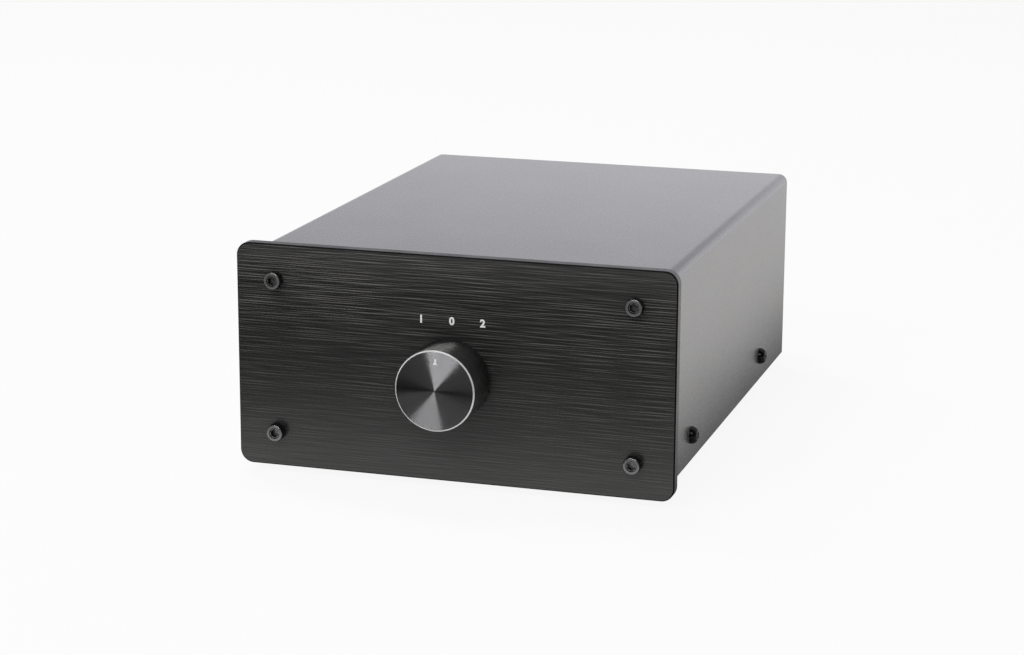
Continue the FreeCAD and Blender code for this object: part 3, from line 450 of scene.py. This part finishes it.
finishes = {
    "panel": brushedPanel(),
    "panelSide": anodised("panelSide", (0.012, 0.012, 0.012), 0.33, 0.0, 0.55),
    "panelEdge": anodised("panelEdge", (0.004, 0.004, 0.0037), 0.5, 0.0, 0.06),
    "cover": texturedPaint("coverPaint", (0.098, 0.098, 0.1)),
    "tray": texturedPaint("trayPaint", (0.02, 0.02, 0.021)),
    "knobFace": turnedMetal("knobFace", knobFinish["face"], knobFinish["faceSlope"], True),
    "knobSide": turnedMetal("knobSide", knobFinish["side"], knobFinish["sideSlope"], False),
    # The knob's back: a darker plain finish, painted shade at the knob's base.
    "knobBackPaintedShade": anodised("knobBackPaintedShade", (0.012, 0.0115, 0.011), 0.4),
    "knobRing": anodised("knobRing", (0.9, 0.9, 0.9), 0.35, 0.35),
    "blackSteel": anodised("blackSteel", (0.19, 0.19, 0.193), 0.17, 0.4, 1.0),
    # Black gloss: the pan heads' own black, and painted shade on the socket screws' walls and
    # sides.
    "blackGlossAndShade": anodised("blackGlossAndShade", (0.004, 0.004, 0.004), 0.2, 0.0, 0.22),
    "zinc": brightMetal("zincPlate", (0.6, 0.61, 0.64), 0.3),
    "steel": brightMetal("groundSteel", (0.62, 0.62, 0.63), 0.2),
    "casting": brightMetal("switchCasting", (0.5, 0.5, 0.52), 0.42, 400.0),
    "silver": brightMetal("contactSilver", (0.8, 0.79, 0.76), 0.2),
    "gilt": brightMetal("giltBrass", (0.86, 0.6, 0.24), 0.2),
    "nylon": moulded("naturalNylon", (0.76, 0.74, 0.66), 0.45),
    "board": phenolicBoard(),
    "red": moulded("redPlastic", (0.5, 0.01, 0.01), 0.26),
    "black": moulded("blackPlastic", (0.016, 0.016, 0.016), 0.28),
    "rubber": moulded("blackRubber", (0.02, 0.02, 0.02), 0.7, 900.0),
    "wireRed": moulded("redInsulation", (0.5, 0.02, 0.02), 0.4),
    "wireBlack": moulded("blackInsulation", (0.02, 0.02, 0.02), 0.4),
    "print": whitePrint(),
}

slotFinish = {
    "panel_black": "panel", "knob_black": "knobSide", "cover_grey": "cover",
    "tray_black": "tray", "black_steel": "blackSteel", "zinc_steel": "zinc",
    "bright_steel": "steel", "switch_casting": "casting", "nylon": "nylon",
    "wafer_board": "board", "contact_silver": "silver", "gilt_brass": "gilt",
    "red_plastic": "red", "black_plastic": "black", "rubber": "rubber",
    "wire_red": "wireRed", "wire_black": "wireBlack",
}


def dressNodes():
    # Every CAD node that stays gets the finish of its slot.
    for part in frame["record"]["subparts"]:
        node = frame["nodes"][part["node"]]
        for place in node.material_slots:
            place.material = finishes[slotFinish[part["material_slot"]]]


dressNodes()
print("finishes made and CAD nodes dressed")


# Ways of making a piece

def makePiece(name, mesh, materials, body, replaced=()):
    # A finished piece: its mesh in place, its finishes, its body and what it stands for.
    data = bpy.data.meshes.new(name)
    mesh.to_mesh(data)
    mesh.free()
    for key in materials:
        data.materials.append(finishes[key])
    piece = bpy.data.objects.new(name, data)
    bpy.context.scene.collection.objects.link(piece)
    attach(piece, body)
    if replaced:
        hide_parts(*replaced)
    return piece


wideFace = 60 * mm * mm


def smooth(mesh, degrees=35):
    # Smooth shading on all but the wide flat faces, with the edges past the angle kept sharp.
    for face in mesh.faces:
        face.smooth = face.calc_area() < wideFace
    for edge in mesh.edges:
        if len(edge.link_faces) == 2:
            edge.smooth = edge.calc_face_angle(0) < math.radians(degrees)


def closeUp(mesh):
    bmesh.ops.remove_doubles(mesh, verts=mesh.verts, dist=tiny / 2)
    bmesh.ops.recalc_face_normals(mesh, faces=mesh.faces)


def bevel(mesh, edges, width, segments):
    return bmesh.ops.bevel(
        mesh, geom=edges, offset=width, affect="EDGES", segments=segments,
        profile=0.5, material=-1, offset_type="OFFSET", clamp_overlap=True,
    )


def addBox(mesh, low, high):
    verts = bmesh.ops.create_cube(mesh, size=1)["verts"]
    bmesh.ops.scale(mesh, vec=Vector(high) - Vector(low), verts=verts)
    bmesh.ops.translate(mesh, vec=(Vector(high) + Vector(low)) / 2, verts=verts)
    return verts


def turned(mesh, profile, steps):
    # Spins a line of (radius, height) about Z.
    verts = [mesh.verts.new((radius, 0, height)) for radius, height in profile]
    edges = [mesh.edges.new(pair) for pair in zip(verts, verts[1:])]
    bmesh.ops.spin(
        mesh, geom=verts + edges, cent=(0, 0, 0), axis=(0, 0, 1), dvec=(0, 0, 0),
        angle=math.tau, steps=steps, use_merge=True, use_duplicate=False,
    )


def rounded(radius, height, edge, outward=1, upward=1, steps=4):
    # The profile points of a round between a side and an end.
    points = []
    for step in range(steps + 1):
        turn = quarter * step / steps
        across = radius - outward * edge * (1 - math.cos(turn))
        points.append((across, height - upward * edge * (1 - math.sin(turn))))
    return points


def openRing(mesh, height):
    # The open edges that lie at one height.
    ring = []
    for edge in mesh.edges:
        level = all(abs(vert.co.z - height) < tiny for vert in edge.verts)
        if level and len(edge.link_faces) < 2:
            ring.append(edge)
    return ring


def sink(mesh, ring, depth, narrow):
    # Takes a ring of edges down and in, and closes it with a floor.
    made = bmesh.ops.extrude_edge_only(mesh, edges=ring)["geom"]
    verts = [part for part in made if isinstance(part, bmesh.types.BMVert)]
    edges = [part for part in made if isinstance(part, bmesh.types.BMEdge)]
    floor = [edge for edge in edges if all(vert in verts for vert in edge.verts)]
    bmesh.ops.scale(mesh, vec=(narrow, narrow, 1), verts=verts)
    bmesh.ops.translate(mesh, vec=(0, 0, -depth), verts=verts)
    bmesh.ops.triangle_fill(mesh, use_beauty=True, edges=floor)


def outline(mesh, corners, height):
    verts = [mesh.verts.new((across, up, height)) for across, up in corners]
    return [mesh.edges.new((verts[place - 1], verts[place])) for place in range(len(verts))]


def copies(template, places):
    # The same shape at each place, in one mesh.
    data = bpy.data.meshes.new("template")
    template.to_mesh(data)
    template.free()
    mesh = bmesh.new()
    for place in places:
        count = len(mesh.verts)
        mesh.from_mesh(data)
        mesh.verts.ensure_lookup_table()
        bmesh.ops.transform(mesh, matrix=place, verts=mesh.verts[count:])
    bpy.data.meshes.remove(data)
    return mesh


def facing(direction, place):
    # A place whose Z points along a direction.
    turn = Vector(direction).to_track_quat("Z", "Y").to_matrix().to_4x4()
    return Matrix.Translation(place) @ turn


# Case

panelLook = {
    "cornerRadius": 4.2 * mm, "chamfer": 0.4 * mm, "backEdge": 0.3 * mm, "steps": 14,
    "sideLimit": 0.3, "edgeLimit": 0.95,
}


def edgesAt(mesh, depth):
    # The edges that lie at one depth.
    return [
        edge for edge in mesh.edges
        if all(abs(vert.co.y - depth) < tiny for vert in edge.verts)
    ]


def frontPanel():
    # A thick plate with round corners, a chamfer in front and a small round behind.
    look = panelLook
    mesh = bmesh.new()
    addBox(mesh, panelLow, panelHigh)
    corners = [e for e in mesh.edges if abs(e.verts[0].co.y - e.verts[1].co.y) > mm]
    bevel(mesh, corners, look["cornerRadius"], look["steps"])
    bevel(mesh, edgesAt(mesh, panelHigh.y), look["backEdge"], 2)
    bevel(mesh, edgesAt(mesh, panelLow.y), look["chamfer"], 1)
    mesh.normal_update()
    for face in mesh.faces:
        if abs(face.normal.y) < look["sideLimit"]:
            face.material_index = 2
        elif abs(face.normal.y) < look["edgeLimit"]:
            face.material_index = 1
    smooth(mesh, 30)
    finishKeys = ["panel", "panelEdge", "panelSide"]
    makePiece("panelPlate", mesh, finishKeys, "root", ["front_panel"])


coverLook = {
    "bend": 3.0 * mm, "sheet": 1.2 * mm, "rim": 0.18 * mm, "steps": 10, "rimAngle": 60,
}


def cover():
    # One sheet folded down at both sides.
    mesh = bmesh.new()
    low, high = coverLow, coverHigh
    corners = [(low.x, low.z), (low.x, high.z), (high.x, high.z), (high.x, low.z)]
    verts = [mesh.verts.new((x, low.y, z)) for x, z in corners]
    for pair in zip(verts, verts[1:]):
        mesh.edges.new(pair)
    bmesh.ops.bevel(
        mesh, geom=verts[1:3], offset=coverLook["bend"], affect="VERTICES",
        segments=coverLook["steps"], profile=0.5, material=-1,
    )
    made = bmesh.ops.extrude_edge_only(mesh, edges=list(mesh.edges))["geom"]
    moved = [part for part in made if isinstance(part, bmesh.types.BMVert)]
    bmesh.ops.translate(mesh, vec=(0, high.y - low.y, 0), verts=moved)
    mesh.normal_update()
    if max(mesh.faces, key=lambda face: face.calc_center_median().z).normal.z < 0:
        bmesh.ops.reverse_faces(mesh, faces=mesh.faces)
    bmesh.ops.solidify(mesh, geom=list(mesh.faces), thickness=coverLook["sheet"])
    bmesh.ops.recalc_face_normals(mesh, faces=mesh.faces)
    rimAngle = math.radians(coverLook["rimAngle"])
    rim = []
    for edge in mesh.edges:
        if len(edge.link_faces) == 2 and edge.calc_face_angle(0) > rimAngle:
            rim.append(edge)
    bevel(mesh, rim, coverLook["rim"], 2)
    smooth(mesh, 35)
    makePiece("coverShell", mesh, ["cover"], "root", ["top_cover"])


frontPanel()
cover()
print("case made")


# Screws

socketLook = {
    "headRadius": 2.75 * mm, "headHeight": 3.0 * mm, "round": 0.6 * mm, "roundSteps": 7,
    "shank": 1.5 * mm, "seatEdge": 0.15 * mm, "socket": 2.5 * mm, "socketDepth": 1.8 * mm,
    "taper": 0.96, "steps": 96, "knurl": 0.97, "knurlFrom": 0.35 * mm, "knurlTo": 2.1 * mm,
    "sinkRadius": 1.72 * mm, "sinkDepth": 0.25 * mm, "wallLimit": 0.74,
    "turns": (0.4, 9000, 5000),
}


def socketScrew(length):
    # A socket screw with its seat at height 0 and its knurled head above.
    look = socketLook
    mesh = bmesh.new()
    radius, height = look["headRadius"], look["headHeight"]
    brim = height - look["sinkDepth"]
    profile = [(look["sinkRadius"] - look["sinkDepth"], brim), (look["sinkRadius"], height)]
    profile += rounded(radius, height, look["round"], 1, 1, look["roundSteps"])[::-1]
    profile += [(radius, look["knurlTo"]), (radius, look["knurlFrom"])]
    profile.append((radius - look["seatEdge"], 0))
    profile += [(look["shank"], 0), (look["shank"], -length), (0, -length)]
    turned(mesh, profile, look["steps"])
    closeUp(mesh)
    for vert in mesh.verts:
        between = look["knurlFrom"] - tiny < vert.co.z < look["knurlTo"] + tiny
        place = round(math.atan2(vert.co.y, vert.co.x) / math.tau * look["steps"])
        if between and place % 2:
            vert.co.x *= look["knurl"]
            vert.co.y *= look["knurl"]
    reach = look["socket"] / math.sqrt(3)
    turns = [math.tau * place / 6 for place in range(6)]
    socket = outline(mesh, [(reach * math.cos(t), reach * math.sin(t)) for t in turns], brim)
    bmesh.ops.triangle_fill(mesh, use_beauty=True, edges=openRing(mesh, brim))
    sink(mesh, socket, look["socketDepth"], look["taper"])
    closeUp(mesh)
    # The walls and the outer round get the black finish as painted shade; the face keeps the
    # lighter one.
    for face in mesh.faces:
        if abs(face.normal.z) < look["wallLimit"] and face.calc_center_median().z > 0:
            face.material_index = 1
    smooth(mesh, 28)
    return mesh


def panelScrews():
    # Four screws, each stopped at a turn of its own.
    low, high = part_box("panel_screws")
    inset = socketLook["headRadius"]
    start, byX, byZ = socketLook["turns"]
    places = []
    for x in (low.x + inset, high.x - inset):
        for z in (low.z + inset, high.z - inset):
            turn = Matrix.Rotation(start + byX * x + byZ * z, 4, "Z")
            places.append(facing((0, -1, 0), (x, panelLow.y, z)) @ turn)
    mesh = copies(socketScrew(high.y - panelLow.y), places)
    # The second finish is painted shade on the socket walls and the head's side.
    finishKeys = ["blackSteel", "blackGlossAndShade"]
    makePiece("panelSocketScrews", mesh, finishKeys, "root", ["panel_screws"])


crossLook = {
    "headRadius": 2.8 * mm, "headHeight": 2.2 * mm, "flat": 0.12 * mm, "shank": 1.5 * mm,
    "crossLength": 2.5 * mm, "crossWidth": 0.62 * mm, "crossDepth": 1.0 * mm, "taper": 0.6,
    "landing": 0.12 * mm, "domeSteps": 7, "steps": 64, "coverLength": 4 * mm,
    "coverTurns": (0.5, 7000), "footLength": 6 * mm, "footTurns": (0.3, 4000, 9000),
}


def crossScrew(length):
    # A pan-head screw with a cross recess, its seat at height 0.
    look = crossLook
    mesh = bmesh.new()
    radius, height = look["headRadius"], look["headHeight"]
    face = look["crossLength"] / 2 + look["landing"]
    profile = [(face, height)]
    for step in range(1, look["domeSteps"] + 1):
        turn = quarter * step / look["domeSteps"]
        out = face + (radius - face) * math.sin(turn)
        profile.append((out, look["flat"] + (height - look["flat"]) * math.cos(turn)))
    profile += [(radius, 0), (look["shank"], 0), (look["shank"], -length), (0, -length)]
    turned(mesh, profile, look["steps"])
    closeUp(mesh)
    arm, reach = look["crossWidth"] / 2, look["crossLength"] / 2
    corners = [
        (-arm, -reach), (arm, -reach), (arm, -arm), (reach, -arm), (reach, arm), (arm, arm),
        (arm, reach), (-arm, reach), (-arm, arm), (-reach, arm), (-reach, -arm), (-arm, -arm),
    ]
    recess = outline(mesh, corners, height)
    bmesh.ops.triangle_fill(mesh, use_beauty=True, edges=openRing(mesh, height))
    sink(mesh, recess, look["crossDepth"], look["taper"])
    closeUp(mesh)
    smooth(mesh, 30)
    return mesh


def coverScrews():
    # Two screws on each side of the cover.
    low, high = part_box("cover_screws")
    inset = crossLook["headRadius"]
    start, byY = crossLook["coverTurns"]
    z = (low.z + high.z) / 2
    places = []
    for side, x in ((-1, coverLow.x), (1, coverHigh.x)):
        for y in (low.y + inset, high.y - inset):
            turn = Matrix.Rotation(start + byY * y, 4, "Z")
            places.append(facing((side, 0, 0), (x, y, z)) @ turn)
    mesh = copies(crossScrew(coverLow.x - low.x + crossLook["coverLength"]), places)
    makePiece("coverPanScrews", mesh, ["blackGlossAndShade"], "root", ["cover_screws"])


footLook = {
    "topShare": 1.5, "topEdge": 0.3 * mm, "bottom": 6.5 * mm, "round": 0.6 * mm, "roundSteps": 4,
    "recess": 3.4 * mm, "recessDepth": 2.8 * mm, "recessEdge": 0.2 * mm, "bore": 1.7 * mm,
    "steps": 72,
}


def feet():
    # Four tapered rubber feet with a fine lip round the bottom, each with its screw sunk in it.
    look = footLook
    low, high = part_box("feet")
    tall = high.z - low.z
    radius = tall * look["topShare"]
    mesh = bmesh.new()
    profile = [(look["bore"], tall), (radius, tall), (radius, tall - look["topEdge"])]
    profile.append((look["bottom"], 0))
    for step in range(1, look["roundSteps"] + 1):
        turn = quarter * step / look["roundSteps"]
        across = look["bottom"] - look["round"] * (1 - math.cos(turn))
        profile.append((across, look["round"] * (1 - math.sin(turn))))
    profile += [(look["recess"] + look["recessEdge"], 0), (look["recess"], look["recessEdge"])]
    profile += [(look["recess"], look["recessDepth"]), (look["bore"], look["recessDepth"])]
    profile.append(profile[0])
    turned(mesh, profile, look["steps"])
    closeUp(mesh)
    smooth(mesh, 35)
    places, screws = [], []
    start, byX, byY = crossLook["footTurns"]
    for x in (low.x + radius, high.x - radius):
        for y in (low.y + radius, high.y - radius):
            places.append(Matrix.Translation((x, y, low.z)))
            turn = Matrix.Rotation(start + byX * x + byY * y, 4, "Z")
            screws.append(facing((0, 0, -1), (x, y, low.z + look["recessDepth"])) @ turn)
    rubber = copies(mesh, places)
    makePiece("rubberFeet", rubber, ["rubber"], "root", ["feet"])
    steel = copies(crossScrew(crossLook["footLength"]), screws)
    makePiece("footPanScrews", steel, ["blackGlossAndShade"], "root", ["foot_screws"])


panelScrews()
coverScrews()
feet()
print("screws and feet made")


# Knob

knobLook = {
    "faceInset": 0.02 * mm, "ring": 0.36 * mm, "step": 0.04 * mm, "backRound": 0.8 * mm,
    "recessRadius": 10.0 * mm, "recessDepth": 6.0 * mm, "bore": 3.05 * mm, "steps": 160,
    "boreDepth": 8.0 * mm, "margin": 0.1 * mm,
}


def knob():
    # Turned from bar: a smooth side, a polished edge and a fine-turned face; the back round and
    # the back carry a darker plain finish as painted shade at the knob's base.
    look = knobLook
    mesh = bmesh.new()
    radius = (knobHigh.x - knobLow.x) / 2
    depth = knobHigh.y - knobLow.y
    face = depth - look["faceInset"]
    inner = radius - look["ring"] - look["step"]
    floor = look["recessDepth"]
    profile = [
        (0, face), (inner, face), (radius - look["ring"], depth), (radius, depth - look["ring"]),
    ]
    profile += rounded(radius, 0, look["backRound"], 1, -1)
    profile += [
        (look["recessRadius"], 0), (look["recessRadius"], floor), (look["bore"], floor),
        (look["bore"], floor + look["boreDepth"]), (0, floor + look["boreDepth"]),
    ]
    turned(mesh, profile, look["steps"])
    closeUp(mesh)
    for part in mesh.faces:
        middle = part.calc_center_median()
        reach = math.hypot(middle.x, middle.y)
        if middle.z > face - tiny and reach < inner:
            part.material_index = 1
        elif middle.z > depth - look["ring"] + tiny and reach > inner:
            part.material_index = 2
        # Painted shade: the back round, the back and its recess get the darker plain finish.
        elif reach < radius - look["margin"]:
            part.material_index = 3
    place = facing((0, -1, 0), (knobAxis.x, knobHigh.y, knobAxis.z))
    bmesh.ops.transform(mesh, verts=mesh.verts, matrix=place)
    smooth(mesh, 30)
    finishKeys = ["knobSide", "knobFace", "knobRing", "knobBackPaintedShade"]
    makePiece("selectorKnob", mesh, finishKeys, "selector", ["knob"])


pointerLook = {
    "length": 1.7 * mm, "width": 0.48 * mm, "gap": 2.6 * mm, "footWidth": 1.15 * mm,
    "footHeight": 0.44 * mm, "depth": 0.2 * mm, "turn": 1.8,
}


def pointer():
    # A fine upright line on a short foot, filled with white.
    look = pointerLook
    mesh = bmesh.new()
    top = knobHigh.z - look["gap"]
    foot = top - look["length"]
    front = knobLow.y
    joint = foot + look["footHeight"]
    for width, base, high in ((look["width"], joint, top), (look["footWidth"], foot, joint)):
        low = (knobAxis.x - width / 2, front, base)
        addBox(mesh, low, (knobAxis.x + width / 2, front + look["depth"], high))
    turn = Matrix.Rotation(math.radians(look["turn"]), 3, "Y")
    bmesh.ops.rotate(mesh, cent=knobAxis, matrix=turn, verts=mesh.verts)
    makePiece("pointerMark", mesh, ["print"], "selector")


knob()
pointer()
print("knob made")


# Binding posts

collarLook = {
    "neck": 3.1 * mm, "round": 0.5 * mm, "groove": 0.35 * mm, "edge": 0.15 * mm, "steps": 72,
}


def collars():
    # The insulating collar of each post, with a fine groove round its middle.
    look = collarLook
    for color in ("red", "black"):
        low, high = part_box("post_collars_" + color)
        radius = (high.z - low.z) / 2
        thick = high.y - trayHigh.y
        groove, edge = look["groove"], look["edge"]
        profile = [(look["neck"], 0), (radius - edge, 0), (radius, edge)]
        profile += [(radius, thick / 2 - groove), (radius - groove, thick / 2)]
        profile += [(radius, thick / 2 + groove)] + rounded(radius, thick, look["round"])
        profile += [(look["neck"], thick), (look["neck"], 0)]
        mesh = bmesh.new()
        turned(mesh, profile, look["steps"])
        closeUp(mesh)
        smooth(mesh, 35)
        places = []
        for x in postColumns():
            places.append(facing((0, 1, 0), (x, trayHigh.y, (low.z + high.z) / 2)))
        made = copies(mesh, places)
        name, slot = color + "Collars", color + "_plastic"
        makePiece(name, made, [color], "root", ["post_collars_" + color])


def postColumns():
    # Where the posts of a row stand, from the caps of its six bodies.
    columns = []
    for number in range(1, 7):
        low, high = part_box("post_cap_red_%d" % number)
        columns.append((low.x + high.x) / 2)
    return columns


capLook = {
    "mouth": 3.4 * mm, "mouthEdge": 0.3 * mm, "edge": 0.5 * mm, "frontEdge": 0.25 * mm,
    "wall": 3.8 * mm, "chamber": 4.35 * mm, "flutes": 12, "fluteDepth": 0.45 * mm,
    "fluteShape": 1.5, "plain": 2.0 * mm, "run": 1.0 * mm, "runSteps": 4, "steps": 144,
}


def postCap(radius, length):
    # A fluted cap, its front end at height 0, with the chamber that holds its threaded insert.
    look = capLook
    mesh = bmesh.new()
    plain, mouth, chamber, wall = look["plain"], look["mouth"], look["chamber"], look["wall"]
    frontEdge, mouthEdge = look["frontEdge"], look["mouthEdge"]
    profile = [(mouth, 0), (radius - frontEdge, 0), (radius, frontEdge), (radius, plain)]
    for step in range(1, look["runSteps"] + 1):
        profile.append((radius, plain + look["run"] * step / look["runSteps"]))
    profile += rounded(radius, length, look["edge"])
    profile += [(mouth + mouthEdge, length), (mouth, length - mouthEdge)]
    profile += [(mouth, length - wall), (chamber, length - wall)]
    profile += [(chamber, wall), (mouth, wall), profile[0]]
    turned(mesh, profile, look["steps"])
    closeUp(mesh)
    for vert in mesh.verts:
        reach = math.hypot(vert.co.x, vert.co.y)
        if vert.co.z < plain or reach < radius - look["edge"] - tiny:
            continue
        turn = math.atan2(vert.co.y, vert.co.x) * look["flutes"]
        into = max(0, math.cos(turn)) ** look["fluteShape"]
        fade = min(1, (vert.co.z - plain) / look["run"])
        depth = look["fluteDepth"] * into * math.sin(quarter * fade)
        vert.co.x *= 1 - depth / reach
        vert.co.y *= 1 - depth / reach
    smooth(mesh, 40)
    return mesh


def caps():
    # One cap for each body, so that each turns by itself.
    for color in ("red", "black"):
        for number in range(1, 7):
            node = "post_cap_%s_%d" % (color, number)
            low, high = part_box(node)
            middle = (low + high) / 2
            place = facing((0, 1, 0), (middle.x, low.y, middle.z))
            mesh = copies(postCap((high.x - low.x) / 2, high.y - low.y), [place])
            name, body = "%sCap%d" % (color, number), "cap_%s_%d" % (color, number)
            makePiece(name, mesh, [color], body, [node])


collars()
caps()
print("posts made")


# Numerals

labelLook = {
    "height": 2.4 * mm, "base": 49.6 * mm, "bold": 0.13 * mm, "thickness": 0.02 * mm,
    "capShare": 0.73, "places": {"1": -9.8 * mm, "0": 0.0, "2": 9.8 * mm},
}


def numerals():
    # Plain numerals over the knob, one for each position.
    look = labelLook
    for word, across in look["places"].items():
        curve = bpy.data.curves.new("numeralCurve", "FONT")
        curve.body = word
        curve.align_x = "CENTER"
        curve.size = look["height"] / look["capShare"]
        curve.offset = look["bold"]
        curve.extrude = look["thickness"]
        source = bpy.data.objects.new("numeralSource", curve)
        data = bpy.data.meshes.new_from_object(source)
        mesh = bmesh.new()
        mesh.from_mesh(data)
        bpy.data.objects.remove(source)
        bpy.data.meshes.remove(data)
        upright = Matrix.Rotation(quarter, 4, "X")
        place = Matrix.Translation((across, panelLow.y, panelLow.z + look["base"]))
        bmesh.ops.transform(mesh, matrix=place @ upright, verts=mesh.verts)
        makePiece("numeral" + word, mesh, ["print"], "root")


numerals()
print("numerals made")


# Studio

def stageItem(name, mesh, material):
    # A studio thing: a mesh with its material, linked into the scene.
    data = bpy.data.meshes.new(name)
    mesh.to_mesh(data)
    mesh.free()
    data.materials.append(material)
    item = bpy.data.objects.new(name, data)
    bpy.context.scene.collection.objects.link(item)


floorLook = {
    "reach": 6.0, "grain": 40.0, "dark": (0.8, 0.8, 0.8), "light": (0.84, 0.84, 0.84),
    "white": 0.91,
    "mirrored": (0.92, 0.9, 0.89), "mirroredShare": 0.7, "mirroredFar": 0.03,
    "front": (-0.19, -0.115), "sides": (0.09, 0.12), "sidesFar": 0.03,
    "beside": (0.073, 0.105), "besideNear": 0.22,
}
worldLook = {
    "ambient": 0.3, "front": 0.07, "behind": (0.97, 0.96, 1.0), "fadeFrom": -0.1, "fadeTo": 0.25,
}


def studioFloor():
    # A pale floor that is seen as nearly white and keeps the object's shadow. In reflections it
    # shows a painted pool of light in front of the front panel's middle, which darkens away from
    # it, and a painted shadow close to the case's sides.
    look = floorLook
    mesh = bmesh.new()
    bmesh.ops.create_grid(mesh, x_segments=2, y_segments=2, size=look["reach"])
    s = Shader("paleFloor")
    fine = s.noise(s.position(), look["grain"], 2.0)
    color = s.mixColor(fine, look["dark"], look["light"])
    lit = s.add("ShaderNodeBsdfDiffuse", {}, {"Color": color})["BSDF"]
    rays = s.add("ShaderNodeLightPath")
    mirrored = rays["Is Glossy Ray"]
    place = s.parts(s.position())
    aside = place["X"].absolute()
    # Painted pool of light: in reflections the floor is bright in front of the panel's middle and
    # dark further out.
    paintedPool = s.spread(place["Y"], *look["front"], look["mirroredFar"], 1)
    paintedPool = paintedPool * s.spread(aside, *look["sides"], 1, look["sidesFar"])
    # Painted shadow: in reflections the floor darkens close to the case's sides.
    beside = s.spread(aside, *look["beside"], look["besideNear"], 1)
    inFront = s.spread(place["Y"], panelHigh.y, panelLow.y, 0, 1)
    near = paintedPool * inFront + beside * (1.0 - inFront)
    shade = s.mixColor(near, (0, 0, 0), look["mirrored"])
    color = s.mixColor(mirrored, (1, 1, 1), shade)
    white = s.add("ShaderNodeEmission", {}, {"Color": color, "Strength": 1.0})["Emission"]
    seen = rays["Is Camera Ray"].atLeast(rays["Is Transmission Ray"]) * look["white"]
    share = 1.0 - near * (1.0 - look["mirroredShare"])
    factor = seen + mirrored * share
    both = s.add("ShaderNodeMixShader", {}, {0: factor, 1: lit, 2: white})["Shader"]
    s.add("ShaderNodeOutputMaterial", {}, {"Surface": both})
    stageItem("floor", mesh, s.material)


def surroundings():
    # White where it is seen, a soft grey as light, and dark in front for reflections.
    world = bpy.data.worlds.new("studio")
    bpy.context.scene.world = world
    s = Shader("studio", world)
    look = worldLook
    rays = s.add("ShaderNodeLightPath")
    direction = s.parts(s.add("ShaderNodeTexCoord")["Generated"])
    behind = s.spread(direction["Y"], look["fadeFrom"], look["fadeTo"], look["front"], 1)
    mirrored = s.mixColor(behind, (0, 0, 0), look["behind"])
    ambient = (look["ambient"],) * 3
    color = s.mixColor(rays["Is Glossy Ray"], ambient, mirrored)
    seen = rays["Is Camera Ray"].atLeast(rays["Is Transmission Ray"])
    color = s.mixColor(seen, color, (1, 1, 1))
    light = s.add("ShaderNodeBackground", {}, {"Color": color, "Strength": 1.0})["Background"]
    s.add("ShaderNodeOutputWorld", {}, {"Surface": light})


cardLook = {
    "away": 0.5, "reach": 1.5, "tall": 0.8, "thick": mm,
    "heights": (0.17, 0.235), "levels": (1.0, 0.5),
    "across": (-0.3, -0.08), "shares": (0.9, 1.0), "color": (0.96, 0.945, 1.0),
}


def rearCard():
    # A card behind the object that only reflections see: brighter low down and to the right.
    look = cardLook
    mesh = bmesh.new()
    back = look["away"] + look["thick"]
    addBox(mesh, (-look["reach"], look["away"], 0), (look["reach"], back, look["tall"]))
    s = Shader("rearCard")
    place = s.parts(s.position())
    level = s.spread(place["Z"], *look["heights"], *look["levels"])
    level = level * s.spread(place["X"], *look["across"], *look["shares"])
    color = s.mixColor(level, (0, 0, 0), look["color"])
    lit = s.add("ShaderNodeEmission", {}, {"Color": color, "Strength": 1.0})["Emission"]
    clear = s.add("ShaderNodeBsdfTransparent")["BSDF"]
    mirrored = s.add("ShaderNodeLightPath")["Is Glossy Ray"]
    both = s.add("ShaderNodeMixShader", {}, {0: mirrored, 1: clear, 2: lit})["Shader"]
    s.add("ShaderNodeOutputMaterial", {}, {"Surface": both})
    stageItem("rearCard", mesh, s.material)


lampLook = {
    "front": {
        "toward": (-0.07, -0.748, 0.66), "along": (0.92, -0.188, -0.118), "away": 1.5,
        "size": (1.4, 0.25), "watts": 9.4,
    },
    "overhead": {
        "toward": (-0.358, 0.299, 0.884), "along": (0.811, -0.207, 0.399), "away": 1.5,
        "size": (1.4, 0.3), "watts": 10.5,
    },
}


lampAim = Vector((0, -0.05, 0.03))


def lamps():
    # Two long lamps, each rolled so that its strip lies along its own direction.
    for name, look in lampLook.items():
        data = bpy.data.lights.new(name + "Lamp", "AREA")
        data.shape = "RECTANGLE"
        data.size, data.size_y = look["size"]
        data.energy = look["watts"]
        item = bpy.data.objects.new(name + "Lamp", data)
        bpy.context.scene.collection.objects.link(item)
        toward = Vector(look["toward"]).normalized()
        upright = toward.cross(Vector(look["along"])).normalized()
        turn = Matrix([upright.cross(toward), upright, toward]).transposed().to_4x4()
        item.matrix_world = Matrix.Translation(lampAim + toward * look["away"]) @ turn


studioFloor()
rearCard()
surroundings()
lamps()
bpy.context.scene.view_settings.view_transform = "Standard"
print("studio set")
